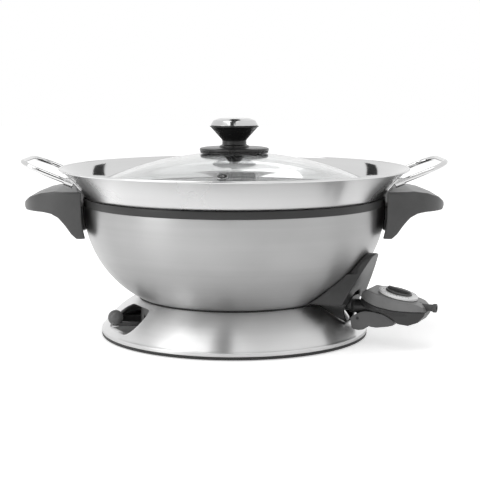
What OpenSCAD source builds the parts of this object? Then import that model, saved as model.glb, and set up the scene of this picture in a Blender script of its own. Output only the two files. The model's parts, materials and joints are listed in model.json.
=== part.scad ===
// Electric wok: a stainless pan with a cast inner bowl stands on a pressed-steel base,
// carries a flared steamer insert under a domed glass lid, and is heated through a
// plug-in control probe at the front right. A lever at the front left locks it to its base.
// Millimetres, +Z up, origin at the centre of the underside, the user at -Y.

/* [Base] */
// Outer radius of the base at the table
base_r = 160; // [150:1:175]
// Radius of the base at its top rim
base_top_r = 117; // [112:1:122]
// Height of the base's steel top rim
base_h = 45; // [42:1:52]
// Sheet thickness of the base skirt
skirt_wall = 1; // [0.8:0.1:1.5]
// How far the skirt's side bulges beyond a straight cone
skirt_bulge = 4; // [2:0.5:6]
// Height of the black foot ring's top
foot_h = 4.5; // [4:0.5:5.5]
// Rubber pad diameter
pad_d = 14; // [10:1:18]

/* [Release lever] */
// Direction of the latch from the centre, measured from +X
latch_azimuth = 215; // [213:1:217]
// Distance from the centre to the drive pin
latch_reach = 96; // [93:1:99]
// Length of the lever's short arm
short_arm = 18; // [16:1:20]
// Swing of the lever between released and locked
lever_swing = 20; // [16:1:22]
// Diameter of the ball knob
ball_d = 18; // [14:1:20]

/* [Pan] */
// Largest radius of the steel pan body
pan_r = 180.5; // [175:0.5:186]
// Radius of the pan's curved side
side_curve_r = 122; // [118:1:126]
// Height of the centre of that curve
side_curve_z = 155; // [152:1:158]
// Height of the pan's underside
pan_bottom_z = 46.5; // [46:0.5:54]
// Thickness of the outer steel shell
shell_wall = 1; // [0.8:0.1:1.5]
// Thickness of the cast inner bowl
cast_wall = 4; // [3:0.5:5]
// Height of the cooking floor at the centre
floor_z = 60; // [58:1:66]
// Height of the dark trim band
band_h = 8.5; // [6:0.5:12]

/* [Steamer] */
// Radius of the steamer's rim
steamer_r = 208; // [200:1:215]
// Height of the steamer's rim
steamer_top_z = 200; // [196:1:206]
// Radius of the flare's hollow curve
flare_curve_r = 123; // [115:1:135]
// Gap between the steamer's neck and the cast bowl's rim
neck_gap = 4.2; // [3:0.2:8]
// Height of the steamer's perforated floor
steamer_floor_z = 112; // [104:1:120]
// Sheet thickness of the steamer
steamer_wall = 1; // [0.8:0.1:1.4]
// Diameter of the steam holes
steam_hole_d = 7; // [5:0.5:9]
// Rod diameter of the loop handles
rod_d = 6; // [5:0.5:7]
// Spread of a loop handle's two legs
loop_spread = 108; // [90:2:116]

/* [Lid] */
// Height of the glass's edge above the lid's seat
lid_edge_h = 9.4; // [8:0.2:12]
// Radius of the dome's curve
dome_r = 400; // [380:5:430]
// Glass thickness
glass_t = 4; // [3:0.5:5]
// Diameter of the heat guard under the knob
guard_d = 83; // [70:1:90]
// Diameter of the knob's top
knob_d = 59; // [50:1:66]
// Diameter of the knob's waist
knob_waist_d = 29; // [24:1:34]
// Height of the knob's body
knob_h = 25.2; // [22:0.2:28]
// Height of the polished cap on the knob
cap_h = 9.2; // [7:0.2:12]

/* [Side handles] */
// How far a handle's tip reaches beyond the pan
handle_out = 71.5; // [62:0.5:80]
// Width of a handle along the rim
handle_w = 128; // [110:2:140]

/* [Control probe] */
// Direction of the probe socket, degrees from +X towards the user
probe_azimuth = 25; // [20:1:30]
// Height of the heating pins and the sensing rod above the pan's underside
pin_rise = 4.5; // [4:0.5:6]
// Diameter of the dial's white scale
dial_d = 46; // [40:1:50]
// Slope of the probe's top face
top_slope = 13; // [10:1:15]
// Squeeze of the release trigger
trigger_squeeze = 8; // [4:1:10]

/* [Hidden] */
$fn = 96;
fine = 160;
fit_gap = 0.3;
run_gap = 0.05;
flat_gap = 0.05;
touch = 0.3;

// ---- helpers -------------------------------------------------------------

// Square given by its two corners, for half sections turned about the axis
module span(r1, z1, r2, z2) {
    translate([r1, z1])
        square([r2 - r1, z2 - z1]);
}

// Tube between two heights
module tube(r_out, r_in, z1, z2) {
    translate([0, 0, z1])
        difference() {
            cylinder(r = r_out, h = z2 - z1);
            translate([0, 0, -1])
                cylinder(r = r_in, h = z2 - z1 + 2);
        }
}

// Places children at several directions on one radius
module ring_of(angles, r) {
    for (a = angles)
        rotate([0, 0, a])
            translate([r, 0, 0])
                children();
}

// Pan-head screw, head at z = 0 and up, shank down
module screw(d, head_d, head_h, length) {
    cylinder(d = head_d, h = head_h);
    translate([0, 0, -length])
        cylinder(d = d, h = length + 0.01);
}

// ---- base ----------------------------------------------------------------

lip_z = 9;
lip_r = base_r + 1;
chord = norm([base_r - base_top_r, base_h - lip_z]);
skirt_curve_r = (chord * chord / 4 + skirt_bulge * skirt_bulge) / (2 * skirt_bulge);
inward = [-(base_h - lip_z), -(base_r - base_top_r)] / chord;
skirt_centre = [(base_r + base_top_r) / 2, (base_h + lip_z) / 2]
    + inward * (skirt_curve_r - skirt_bulge);
flange_in_r = base_top_r - 10;
frame_top_z = base_h - skirt_wall - touch;
seat_r = base_top_r - 1.5;
foot_bottom_z = 1;
pad_angles = [45, 135, 225, 315];

// Radius of the skirt's outer face at a height
function skirt_r_at(z) =
    skirt_centre[0] + sqrt(pow(skirt_curve_r, 2) - pow(z - skirt_centre[1], 2));

// Half section of everything under the skirt's curve, shrunk by t
module under_skirt(t) {
    intersection() {
        translate(skirt_centre)
            circle(r = skirt_curve_r - t, $fn = fine);
        span(0, lip_z - 1, base_r, base_h - t);
    }
}

module base_skirt() {
    color("gainsboro")
        difference() {
            rotate_extrude($fn = fine) {
                difference() {
                    under_skirt(0);
                    under_skirt(skirt_wall);
                    span(-1, 0, flange_in_r, base_h + 1);
                    span(-1, 0, base_r - skirt_wall, lip_z);
                }
                span(base_r - skirt_wall, foot_h, lip_r, lip_z);
            }
            lever_opening();
        }
}

opening_azimuth = 208;
opening_z = 28;
opening_end_r = 13.5;
opening_half_w = 33;

// Round-ended opening in the skirt, cut along its own direction
module lever_opening() {
    rotate([0, 0, opening_azimuth])
        translate([base_top_r - 2, 0, opening_z])
            rotate([90, 0, 90])
                linear_extrude(height = 60)
                    round_slot(opening_half_w, opening_end_r);
}

// Slot outline with round ends, centred
module round_slot(half_w, end_r) {
    square([2 * (half_w - end_r), 2 * end_r], center = true);
    for (side = [-1, 1])
        translate([side * (half_w - end_r), 0])
            circle(r = end_r);
}

pad_t = 2.5;
pad_ring_r = base_r - 10;
foot_in_r = base_r - 22;

module foot_ring() {
    color("dimgray")
        difference() {
            union() {
                tube(lip_r, foot_in_r, foot_bottom_z, foot_h - 0.01);
                tube(base_r - skirt_wall - fit_gap, base_r - skirt_wall - 3,
                     foot_h - 0.1, foot_h + 3);
            }
            ring_of(pad_angles, pad_ring_r)
                translate([0, 0, -1])
                    cylinder(d = pad_d, h = pad_t + 1);
            ring_of(leg_angles, leg_r)
                cylinder(d = 3.4, h = 20, center = true);
        }
}

module rubber_feet() {
    color("black")
        ring_of(pad_angles, pad_ring_r)
            cylinder(d = pad_d, h = pad_t);
}

stud_neck_r = 7;
stud_head_r = 13;
stud_head_t = 6.5;
hub_bore_r = stud_head_r + 1;
hub_r = hub_bore_r + 5;
hub_top_z = 36;
hub_bottom_z = 14;
leg_angles = [0, 90, 180, 270];
leg_r = foot_in_r + 6;
leg_d = 11;
spoke_t = 8;
frame_ledge_z = 19;
frame_ring_r = flange_in_r + 4;
frame_ring_in_r = flange_in_r - 8;
bolt_w = 14;
bolt_t = 4;
bolt_z = 27;
guide_w = 5;
guide_end_r = 74;

// Black carrier under the skirt: rim ring, hub for the stud, four spokes with legs
module base_frame() {
    color("dimgray")
        difference() {
            union() {
                tube(frame_ring_r, frame_ring_in_r, frame_top_z - 9, frame_top_z);
                tube(hub_r, hub_bore_r, hub_bottom_z, hub_top_z);
                for (a = leg_angles)
                    rotate([0, 0, a]) {
                        translate([hub_bore_r + 2, -spoke_t / 2, frame_top_z - 16])
                            cube([frame_ring_in_r - hub_bore_r, spoke_t, 8]);
                        translate([frame_ring_in_r + 3, -spoke_t / 2, frame_ledge_z - 9])
                            cube([leg_r - frame_ring_in_r - 3, spoke_t, 9]);
                        translate([frame_ring_in_r + 1, -spoke_t / 2, frame_ledge_z - 9])
                            cube([8, spoke_t, frame_top_z - frame_ledge_z + 8]);
                        translate([leg_r, 0, foot_h])
                            cylinder(d = leg_d, h = frame_ledge_z - foot_h - 1);
                    }
                rotate([0, 0, latch_azimuth])
                    for (side = [-1, 1])
                        translate([hub_bore_r + 2,
                                   side * (bolt_w / 2 + fit_gap + guide_w / 2) - guide_w / 2,
                                   bolt_z - 3.4])
                            cube([guide_end_r - hub_bore_r - 2, guide_w, bolt_t + 7]);
                lever_carrier();
            }
            translate([0, 0, hub_bottom_z - 1])
                cylinder(r = hub_bore_r, h = hub_top_z);
            rotate([0, 0, latch_azimuth])
                translate([0, -bolt_w / 2 - fit_gap, bolt_z - fit_gap])
                    cube([guide_end_r + 5, bolt_w + 2 * fit_gap, bolt_t + 2 * fit_gap]);
            translate([pivot[0], pivot[1], 0])
                cylinder(r = pivot_pin_r + run_gap, h = lever_z + lever_t);
            ring_of(leg_angles, leg_r)
                cylinder(d = 2.9, h = frame_ledge_z - 2);
        }
}

module frame_screws() {
    color("silver")
        ring_of(leg_angles, leg_r)
            translate([0, 0, foot_bottom_z])
                rotate([180, 0, 0])
                    screw(2.8, 6, 0.8, 14);
}

// Heat-resistant ring between the steel rim and the pan
module seat_ring() {
    color("black")
        tube(seat_r, flange_in_r - 1, base_h, pan_bottom_z - flat_gap);
}

recess_r = frame_ring_r + 1;
recess_wall = 2;
recess_floor_z = 11.5;
recess_half_angle = 21;

// Moulded pocket behind the opening: curved back wall, floor and a slot for the lever
module lever_recess() {
    color("gray")
        difference() {
            intersection() {
                rotate_extrude($fn = fine)
                    difference() {
                        under_skirt(skirt_wall + fit_gap);
                        span(recess_r + recess_wall, recess_floor_z + recess_wall,
                             base_r, base_h);
                        span(-1, 0, recess_r, base_h);
                        span(-1, 0, base_r, recess_floor_z);
                    }
                rotate([0, 0, opening_azimuth])
                    rotate([0, 0, -recess_half_angle])
                        wedge(2 * recess_half_angle);
            }
            translate([-base_r, pivot[1] - 24, lever_z - 1])
                cube([base_r, 60, lever_t + 2]);
        }
}

// Pie slice from +X round to an angle under 90 degrees
module wedge(angle) {
    far = 2 * base_r;
    linear_extrude(height = base_h)
        polygon([[0, 0], [far, 0], [far, far * tan(angle / 2)],
                 [far * cos(angle), far * sin(angle)]]);
}

// ---- release lever and latch ----------------------------------------------

latch_out = [cos(latch_azimuth), sin(latch_azimuth)];
latch_side = [-latch_out[1], latch_out[0]];
pivot = latch_reach * latch_out + short_arm * cos(lever_swing / 2) * latch_side;
drive_pin = pivot + short_arm * [
    -latch_side[0] * cos(lever_swing / 2) + latch_out[0] * sin(lever_swing / 2),
    -latch_side[1] * cos(lever_swing / 2) + latch_out[1] * sin(lever_swing / 2)];
latch_travel = 2 * short_arm * sin(lever_swing / 2);
pivot_pin_r = 3;
drive_pin_r = 2.5;
lever_z = 21.5;
lever_t = 4;
ball_centre = [-(base_r - 22), pivot[1], 30.5];
stem_r = 2.5;
lever_neck_x = ball_centre[0] + 26;

// Shelf and hanger that carry the lever's pin from the rim ring
module lever_carrier() {
    boss_z = lever_z - touch;
    shelf_t = 6;
    off = short_arm * cos(lever_swing / 2);
    translate([pivot[0], pivot[1], boss_z - shelf_t])
        cylinder(r = 8, h = shelf_t);
    rotate([0, 0, latch_azimuth])
        translate([latch_reach - 5, off, boss_z - shelf_t + 1]) {
            cube([10, 24, shelf_t - 2]);
            translate([0, 18, 0])
                cube([10, 6, frame_top_z - boss_z + shelf_t - 2]);
        }
}

// Flat bell-crank: the long arm leads out to the ball, the short arm drives the latch
module release_lever() {
    reach = drive_pin - pivot;
    color("black") {
        translate([0, 0, lever_z])
            linear_extrude(height = lever_t)
                difference() {
                    union() {
                        translate(pivot)
                            circle(r = 7);
                        translate(drive_pin)
                            circle(r = 5);
                        translate(pivot)
                            rotate(atan2(reach[1], reach[0]))
                                translate([0, -4.5])
                                    square([short_arm, 9]);
                        polygon([
                            [pivot[0] - 2, pivot[1] - 6.5],
                            [lever_neck_x, pivot[1] - 5],
                            [ball_centre[0], pivot[1] - 3.2],
                            [ball_centre[0], pivot[1] + 3.2],
                            [lever_neck_x, pivot[1] + 5],
                            [pivot[0] - 2, pivot[1] + 6.5]]);
                        translate([ball_centre[0], ball_centre[1]])
                            circle(r = 4.2);
                    }
                    translate(pivot)
                        circle(r = pivot_pin_r + run_gap);
                    translate([ball_centre[0], ball_centre[1]])
                        circle(r = stem_r);
                }
        translate([drive_pin[0], drive_pin[1], lever_z + lever_t - 0.1])
            cylinder(r = drive_pin_r, h = bolt_z + bolt_t + 1.5 - lever_z - lever_t);
    }
}

module knob_stem() {
    color("white")
        translate([ball_centre[0], ball_centre[1], lever_z]) {
            cylinder(r = stem_r, h = ball_centre[2] + 1.5 - lever_z);
            translate([0, 0, -1.5])
                cylinder(r = 4, h = 1.5);
        }
}

// Ball moulded over the end of the lever's arm
module ball_knob() {
    color("slategray")
        difference() {
            translate(ball_centre)
                sphere(d = ball_d);
            translate([ball_centre[0], ball_centre[1], 0])
                cylinder(r = stem_r, h = ball_centre[2] + 1.5);
            translate([ball_centre[0] - 4.2 - flat_gap, ball_centre[1] - 4.6, lever_z - 8])
                cube([30, 9.2, lever_t + 8 + flat_gap]);
        }
}

module lever_pin() {
    color("silver")
        translate([pivot[0], pivot[1], lever_z - 9.5]) {
            cylinder(r = pivot_pin_r, h = 9.5 + lever_t + 0.3);
            translate([0, 0, -1])
                cylinder(r = 5, h = 1);
            translate([0, 0, 9.5 + lever_t + 0.3])
                cylinder(r = 5.2, h = 1);
        }
}

// Sliding tongue that catches over the head of the pan's lock stud
tongue_r = stud_head_r + 2;

module latch_bolt() {
    slot_w = 2 * (drive_pin_r + fit_gap);
    pin_off = (drive_pin - latch_reach * latch_out) * latch_out;
    side_off = (drive_pin - latch_reach * latch_out) * latch_side;
    color("silver")
        rotate([0, 0, latch_azimuth])
            difference() {
                translate([tongue_r, -bolt_w / 2, bolt_z])
                    cube([latch_reach + 10 - tongue_r, bolt_w, bolt_t]);
                translate([latch_reach + pin_off - slot_w / 2, side_off - 4, bolt_z - 1])
                    cube([slot_w, 8, bolt_t + 2]);
            }
}

// ---- pan -------------------------------------------------------------------

curve_c = [pan_r - side_curve_r, side_curve_z];
pan_top_z = side_curve_z + 3;
band_top_z = pan_top_z + band_h;
cast_off = shell_wall + fit_gap;
neck_r = pan_r - cast_off - cast_wall - neck_gap;

function side_r_at(z, off) =
    curve_c[0] + sqrt(pow(side_curve_r - off, 2) - pow(side_curve_z - z, 2));

// Half section inside the pan's side curve, shrunk by off
module side_section(off, z1, z2) {
    intersection() {
        union() {
            translate(curve_c)
                circle(r = side_curve_r - off, $fn = fine);
            span(0, 0, curve_c[0], side_curve_z);
            span(0, side_curve_z - 0.01, pan_r - off, z2 + 1);
        }
        span(0, z1, pan_r - off + 1, z2);
    }
}

shell_foot_r = seat_r - 8;

module pan_shell() {
    color("silver")
        difference() {
            rotate_extrude($fn = fine)
                difference() {
                    side_section(0, pan_bottom_z, pan_top_z);
                    side_section(shell_wall, pan_bottom_z + shell_wall, pan_top_z + 1);
                    span(-1, 0, shell_foot_r, pan_bottom_z + 5);
                }
            at_probe()
                translate([shell_foot_r - 6, 0, 0]) {
                    for (w = [-1, 1])
                        translate([0, w * pin_spread, pin_z])
                            rotate([0, 90, 0])
                                cylinder(r = collar_r + fit_gap, h = 40);
                    translate([0, 0, pin_z])
                        rotate([0, 90, 0])
                            cylinder(r = 4.5, h = 40);
                }
            at_handle_screws()
                cylinder(d = 4.4, h = 60, center = true);
        }
}

dish_r = 420;
cast_bottom_z = pan_bottom_z + shell_wall + 0.2;
element_r = 78;
element_tube_r = 4;
element_z = cast_bottom_z + 4;
plate_t = 1;
plate_r = shell_foot_r - 0.5;
plate_z = cast_bottom_z - flat_gap - plate_t;
cast_top_z = band_top_z;
boss_r = 16;

// Cast bowl: its inside is a wide dish that runs up into the same curve as the shell
module cast_bowl() {
    color("dimgray")
        difference() {
            rotate_extrude($fn = fine) {
                difference() {
                    side_section(cast_off, cast_bottom_z, cast_top_z);
                    intersection() {
                        side_section(cast_off + cast_wall, cast_bottom_z + 1, cast_top_z + 5);
                        translate([0, floor_z + dish_r])
                            circle(r = dish_r, $fn = fine);
                        span(0, 0, 400, 400);
                    }
                }
            }
            element_groove();
            translate([0, 0, cast_bottom_z - 1])
                cylinder(r = 4, h = 8);
            at_socket()
                translate([rod_tip_s - 1, 0, rod_z])
                    rotate([0, 90, 0])
                        cylinder(r = rod_r + 0.4, h = 60);
            ring_of(plate_screw_angles, plate_screw_r)
                cylinder(d = 3, h = 2 * (cast_bottom_z + 5), center = true);
            at_handle_screws()
                cylinder(d = 4.2, h = 9.4, center = true);
        }
}

pin_spread = 10;
rod_r = 2.5;
pin_z = pan_bottom_z + pin_rise;
rod_tip_s = 88;
collar_r = 3;
pin_r = 2.4;

module at_probe() {
    rotate([0, 0, -probe_azimuth])
        children();
}

// The socket, shroud and probe are drawn where this pan's wall stands at its pins:
// when the pan's sizes change, all of them move with the wall
drawn_wall_s = 122.28;
drawn_pin_z = 51;
rod_z = drawn_pin_z;
wall_shift = side_r_at(pin_z, 0) - drawn_wall_s;
pin_shift = pin_z - drawn_pin_z;

module at_socket() {
    at_probe()
        translate([wall_shift, 0, pin_shift])
            children();
}

// Groove under the floor for the ring element and its two cold ends
module element_groove() {
    rotate_extrude($fn = fine)
        span(element_r - element_tube_r - fit_gap, cast_bottom_z - 1,
             element_r + element_tube_r + fit_gap, element_z + element_tube_r + fit_gap);
    at_probe()
        for (w = [-1, 1])
            translate([element_r - 6, w * pin_spread - element_tube_r - fit_gap,
                       cast_bottom_z - 1])
                cube([60, 2 * (element_tube_r + fit_gap),
                      element_z + element_tube_r + fit_gap - cast_bottom_z + 1]);
}

// Ring element, open at the socket, with a straight cold end on each side
module heating_element() {
    gap_angle = asin(pin_spread / element_r);
    color("darkslategray")
        at_probe() {
            difference() {
                rotate_extrude($fn = fine)
                    translate([element_r, element_z - 0.5])
                        circle(r = element_tube_r - 0.5, $fn = 48);
                translate([40, -pin_spread, element_z - 10])
                    cube([60, 2 * pin_spread, 20]);
            }
            for (w = [-1, 1])
                translate([element_r * cos(gap_angle), w * pin_spread, element_z - 0.5])
                    rotate([0, 90, 0])
                        cylinder(r = element_tube_r - 0.5,
                                 h = cold_end_s + wall_shift - element_r * cos(gap_angle));
        }
}

cold_end_s = 112;

module base_plate() {
    color("silver")
        difference() {
            translate([0, 0, plate_z])
                cylinder(r = plate_r, h = plate_t);
            cylinder(r = stud_neck_r + 1, h = 100);
            ring_of(plate_screw_angles, plate_screw_r)
                cylinder(d = 3.4, h = 100);
        }
}

plate_screw_angles = [20, 65, 110, 155, 245, 290];
plate_screw_r = 96;

module plate_screws() {
    color("silver")
        ring_of(plate_screw_angles, plate_screw_r)
            translate([0, 0, plate_z])
                rotate([180, 0, 0])
                    screw(2.9, 5.5, 1.2, 5.5);
}

// Shouldered stud that the base's latch holds
module lock_stud() {
    color("silver") {
        translate([0, 0, bolt_z - 0.5 - stud_head_t])
            cylinder(r = stud_head_r, h = stud_head_t);
        translate([0, 0, bolt_z - 0.6])
            cylinder(r = stud_neck_r, h = cast_bottom_z - flat_gap - bolt_z + 0.6);
        translate([0, 0, cast_bottom_z - 1])
            cylinder(r = 4 - run_gap, h = 6.5);
    }
}

pin_end_s = 142;
collar_end_s = 124;

module terminal_pins() {
    color("silver")
        at_socket()
            for (w = [-1, 1])
                translate([cold_end_s, w * pin_spread, drawn_pin_z])
                    rotate([0, 90, 0])
                        cylinder(r = pin_r, h = pin_end_s - cold_end_s);
}

module pin_insulators() {
    color("white")
        at_socket()
            for (w = [-1, 1])
                translate([cold_end_s + 0.5, w * pin_spread, drawn_pin_z])
                    rotate([0, 90, 0])
                        difference() {
                            cylinder(r = collar_r, h = collar_end_s - cold_end_s);
                            translate([0, 0, -1])
                                cylinder(r = pin_r + run_gap, h = 60);
                        }
}

// ---- socket shroud -----------------------------------------------------------

shroud_z = 50;
shroud_apex_z = 107;
shroud_half_w = 32;
shroud_draft = 0.5;
shroud_at_s = 168;
shroud_side_c = 83;
shroud_max_w = 45;
tube_r = 23;
top_round_r = 27;
mouth_r = 18;
mouth_z = 45;
face_s = 159;
face_z = 62;
face_lean = 26;
mouth_low_z = 42;
shroud_gap = 1.5;
shroud_stud_l = 6;

// Side radius of the shroud at a distance from the centre
function shroud_side_r(s) = shroud_side_c + shroud_half_w - shroud_draft * (s - shroud_at_s);

// Body of the shroud along +X: a round tube below, and above it an arch that widens
// towards the pan, with a rounded top
module shroud_body(s1, s2) {
    span_s = s2 - s1;
    translate([s1, 0, shroud_z - 4])
        rotate([0, 90, 0])
            cylinder(r = tube_r, h = span_s, $fn = fine);
    translate([s1, 0, shroud_z])
        rotate([0, 90, 0])
            intersection() {
                for_side(1, s1, s2);
                for_side(-1, s1, s2);
                union() {
                    translate([top_round_r - shroud_apex_z + shroud_z, 0, 0])
                        cylinder(r = top_round_r, h = span_s, $fn = fine);
                    translate([top_round_r - shroud_apex_z + shroud_z - 6, -shroud_max_w, -1])
                        cube([36.2, 2 * shroud_max_w, span_s + 2]);
                }
            }
}

// Large cone that forms one side of the arch
module for_side(side, s1, s2) {
    translate([0, side * shroud_side_c, 0])
        cylinder(r1 = shroud_side_r(s1), r2 = shroud_side_r(s2), h = s2 - s1, $fn = fine);
}

// Front of the shroud seen from the side: upright at the mouth, leaning out above it
module shroud_front() {
    mouth_s = face_s - (face_z - mouth_low_z) * tan(face_lean);
    translate([0, 100, 0])
        rotate([90, 0, 0])
            linear_extrude(height = 200)
                polygon([[mouth_s, 0], [mouth_s, mouth_low_z],
                         [mouth_s + 90 * tan(face_lean), mouth_low_z + 90], [300, 140], [300, 0]]);
}

module socket_shroud() {
    start_s = 92;
    color("dimgray")
        difference() {
            at_socket()
                difference() {
                    shroud_body(start_s, 190);
                    shroud_front();
                    translate([start_s - 1, 0, mouth_z])
                        rotate([0, 90, 0])
                            cylinder(r = mouth_r, h = 120);
                }
            rotate_extrude($fn = fine)
                side_section(-fit_gap, 0, pan_top_z);
            rotate_extrude($fn = fine)
                side_foot();
            rotate_extrude($fn = fine)
                under_skirt(-shroud_gap);
            at_shroud_studs()
                cylinder(d = 4 + 2 * run_gap, h = 2 * shroud_stud_l + 1, center = true);
        }
}

// Keeps the shroud outside the pan's foot
module side_foot() {
    span(0, 0, skirt_r_at(base_h) + 2, pan_bottom_z + 0.5);
}

module at_shroud_studs() {
    stud_zs = [for (drop = [31, 17]) shroud_apex_z + pin_shift - drop];
    at_probe()
        for (z = stud_zs)
            translate([side_r_at(z, 0), 0, z])
                rotate([0, 90, 0])
                    children();
}

// Studs welded to the shell that carry the shroud
module shroud_studs() {
    color("silver")
        difference() {
            at_shroud_studs()
                translate([0, 0, -4])
                    cylinder(d = 4, h = 4 + shroud_stud_l);
            rotate_extrude($fn = fine)
                side_section(-flat_gap, 0, pan_top_z);
        }
}

// ---- side handles ------------------------------------------------------------

handle_round_r = handle_w / 2;
handle_reach = pan_r + handle_out;
handle_gap = 7;
handle_z = pan_top_z - 21;
handle_screw_y = 15;
boss_w = 52;
boss_out = 12;
boss_z1 = handle_z - 9;
boss_z2 = handle_z + 19;
pocket_wall = 7;
pocket_in_r = pan_r + 23.5;
pocket_top_z = pan_top_z + 6;

// Places children at the right-hand handle's two screws, +Z outward
module at_handle_screw_pair() {
    for (side = [-1, 1])
        translate([side_r_at(handle_z, 0), side * handle_screw_y, handle_z])
            rotate([0, 90, 0])
                children();
}

module at_handle_screws() {
    for (turn = [0, 180])
        rotate([0, 0, turn])
            at_handle_screw_pair()
                children();
}

// Side view of a handle, measured from its tip and from the pan's top edge
module handle_outline() {
    inner = -handle_out - 11;
    translate([handle_reach, pan_top_z])
        polygon([
            [0, -2], [-2.5, 3.5], [-11, 10.5], [-26, 16], [-44, 19], [-52, 18.5],
            [inner, 18], [inner, -36.5], [-69, -36.5], [-63, -31], [-56, -21], [-48, -12],
            [-39, -7.5], [-28, -6], [-5, -6]]);
}

// Right-hand handle: a curved grip with an open pocket under it and a boss for its screws
module handle() {
    grip_x = handle_reach - handle_round_r;
    difference() {
        union() {
            difference() {
                intersection() {
                    translate([0, handle_w / 2, 0])
                        rotate([90, 0, 0])
                            linear_extrude(height = handle_w)
                                handle_outline();
                    translate([grip_x, 0, 0])
                        cylinder(r = handle_round_r, h = steamer_top_z, $fn = fine);
                }
                rotate_extrude($fn = fine)
                    side_section(-handle_gap, 0, steamer_top_z);
                intersection() {
                    translate([grip_x, 0, 0])
                        cylinder(r = handle_round_r - pocket_wall, h = pocket_top_z, $fn = fine);
                    translate([pocket_in_r, -handle_w / 2, 0])
                        cube([handle_reach, handle_w, pocket_top_z]);
                }
            }
            translate([pan_r - 30, -boss_w / 2, boss_z1])
                cube([30 + boss_out, boss_w, boss_z2 - boss_z1]);
        }
        rotate_extrude($fn = fine)
            side_section(-fit_gap, 0, steamer_top_z);
        at_handle_screw_pair() {
            translate([0, 0, -5])
                cylinder(d = 4.4, h = 60);
            translate([0, 0, 10])
                cylinder(d = 9, h = 40);
        }
    }
}

module left_handle() {
    color("dimgray")
        rotate([0, 0, 180])
            handle();
}

module right_handle() {
    color("dimgray")
        handle();
}

module handle_screws() {
    color("silver")
        at_handle_screws()
            translate([0, 0, 10])
                screw(4, 8, 3, 14);
}

module trim_band() {
    color("dimgray")
        tube(pan_r + 0.4, pan_r - cast_off + flat_gap, pan_top_z, band_top_z - 0.01);
}

// ---- steamer -----------------------------------------------------------------

shoulder_z = band_top_z + flat_gap;
flare_foot = [pan_r - 2.2, shoulder_z];
flare_lip = [steamer_r, steamer_top_z];
flare_run = flare_lip - flare_foot;
flare_half = norm(flare_run) / 2;
flare_c = (flare_foot + flare_lip) / 2 + [flare_run[1], -flare_run[0]] / (2 * flare_half)
    * sqrt(pow(flare_curve_r, 2) - pow(flare_half, 2));
floor_r = neck_r - 21;

// Flare's outer radius at a height
function flare_r_at(z) =
    flare_c[0] - sqrt(pow(flare_curve_r, 2) - pow(z - flare_c[1], 2));

steam_ring_pitch = 20;
steam_rings = [24 : steam_ring_pitch : floor_r - 24];

// Pressed insert: rolled rim, flare, shoulder on the pan's rim, neck and holed floor
module steamer_bowl() {
    t = steamer_wall;
    knee_z = shoulder_z - 16.5;
    plate_edge = floor_r - 12;
    color("gainsboro") {
        rotate_extrude($fn = fine) {
            intersection() {
                difference() {
                    translate(flare_c)
                        circle(r = flare_curve_r + t, $fn = fine);
                    translate(flare_c)
                        circle(r = flare_curve_r, $fn = fine);
                }
                span(0, shoulder_z, steamer_r, steamer_top_z);
            }
            translate([steamer_r, steamer_top_z])
                circle(r = 1.5, $fn = 32);
            span(neck_r - t, shoulder_z, flare_r_at(shoulder_z + t), shoulder_z + t);
            span(neck_r - t, knee_z, neck_r, shoulder_z + t);
            polygon([
                [neck_r, knee_z], [neck_r - t, knee_z],
                [floor_r - t, steamer_floor_z + t], [floor_r - t, steamer_floor_z],
                [floor_r, steamer_floor_z]]);
            span(plate_edge, steamer_floor_z, floor_r, steamer_floor_z + t);
        }
        translate([0, 0, steamer_floor_z])
            linear_extrude(height = t)
                difference() {
                    circle(r = plate_edge, $fn = fine);
                    for (r = steam_rings)
                        ring_of([for (i = [0 : r / 4 - 1]) i * 360 / (r / 4)], r)
                            circle(d = steam_hole_d, $fn = 24);
                }
    }
}

loop_root_z = steamer_top_z - 15;
loop_root = [sqrt(pow(flare_r_at(loop_root_z), 2) - pow(loop_spread / 2, 2)) + 3.6,
    loop_root_z];
loop_tip = [steamer_r + 43 - rod_d / 2, steamer_top_z + 9.5];
loop_corner_r = 24;
loop_slope = atan2(loop_tip[1] - loop_root[1], loop_tip[0] - loop_root[0]);

// U-shaped rod in a plane that rises outward
module loop() {
    run = loop_tip[0] - loop_root[0];
    rise = loop_tip[1] - loop_root[1];
    reach = norm([run, rise]);
    half = loop_spread / 2;
    translate([loop_root[0], 0, loop_root[1]])
        rotate([0, -atan2(rise, run), 0]) {
            for (side = [-1, 1]) {
                translate([0, side * half, 0])
                    rotate([0, 90, 0])
                        cylinder(d = rod_d, h = reach - loop_corner_r, $fn = 48);
                translate([reach - loop_corner_r, side * (half - loop_corner_r), 0])
                    rotate([0, 0, side > 0 ? 0 : -90])
                        rotate_extrude(angle = 90)
                            translate([loop_corner_r, 0])
                                circle(d = rod_d, $fn = 48);
            }
            translate([reach, half - loop_corner_r, 0])
                rotate([90, 0, 0])
                    cylinder(d = rod_d, h = 2 * (half - loop_corner_r), $fn = 48);
        }
}

module left_loop() {
    color("silver")
        rotate([0, 0, 180])
            loop();
}

module right_loop() {
    color("silver")
        loop();
}

// Direction of a loop's leg where it meets the flare
bracket_angle = asin(loop_spread / 2 / flare_r_at(loop_root_z));
bracket_w = 16;
bracket_h = 14;
bracket_t = 1.6;
sleeve_l = 11;

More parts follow.
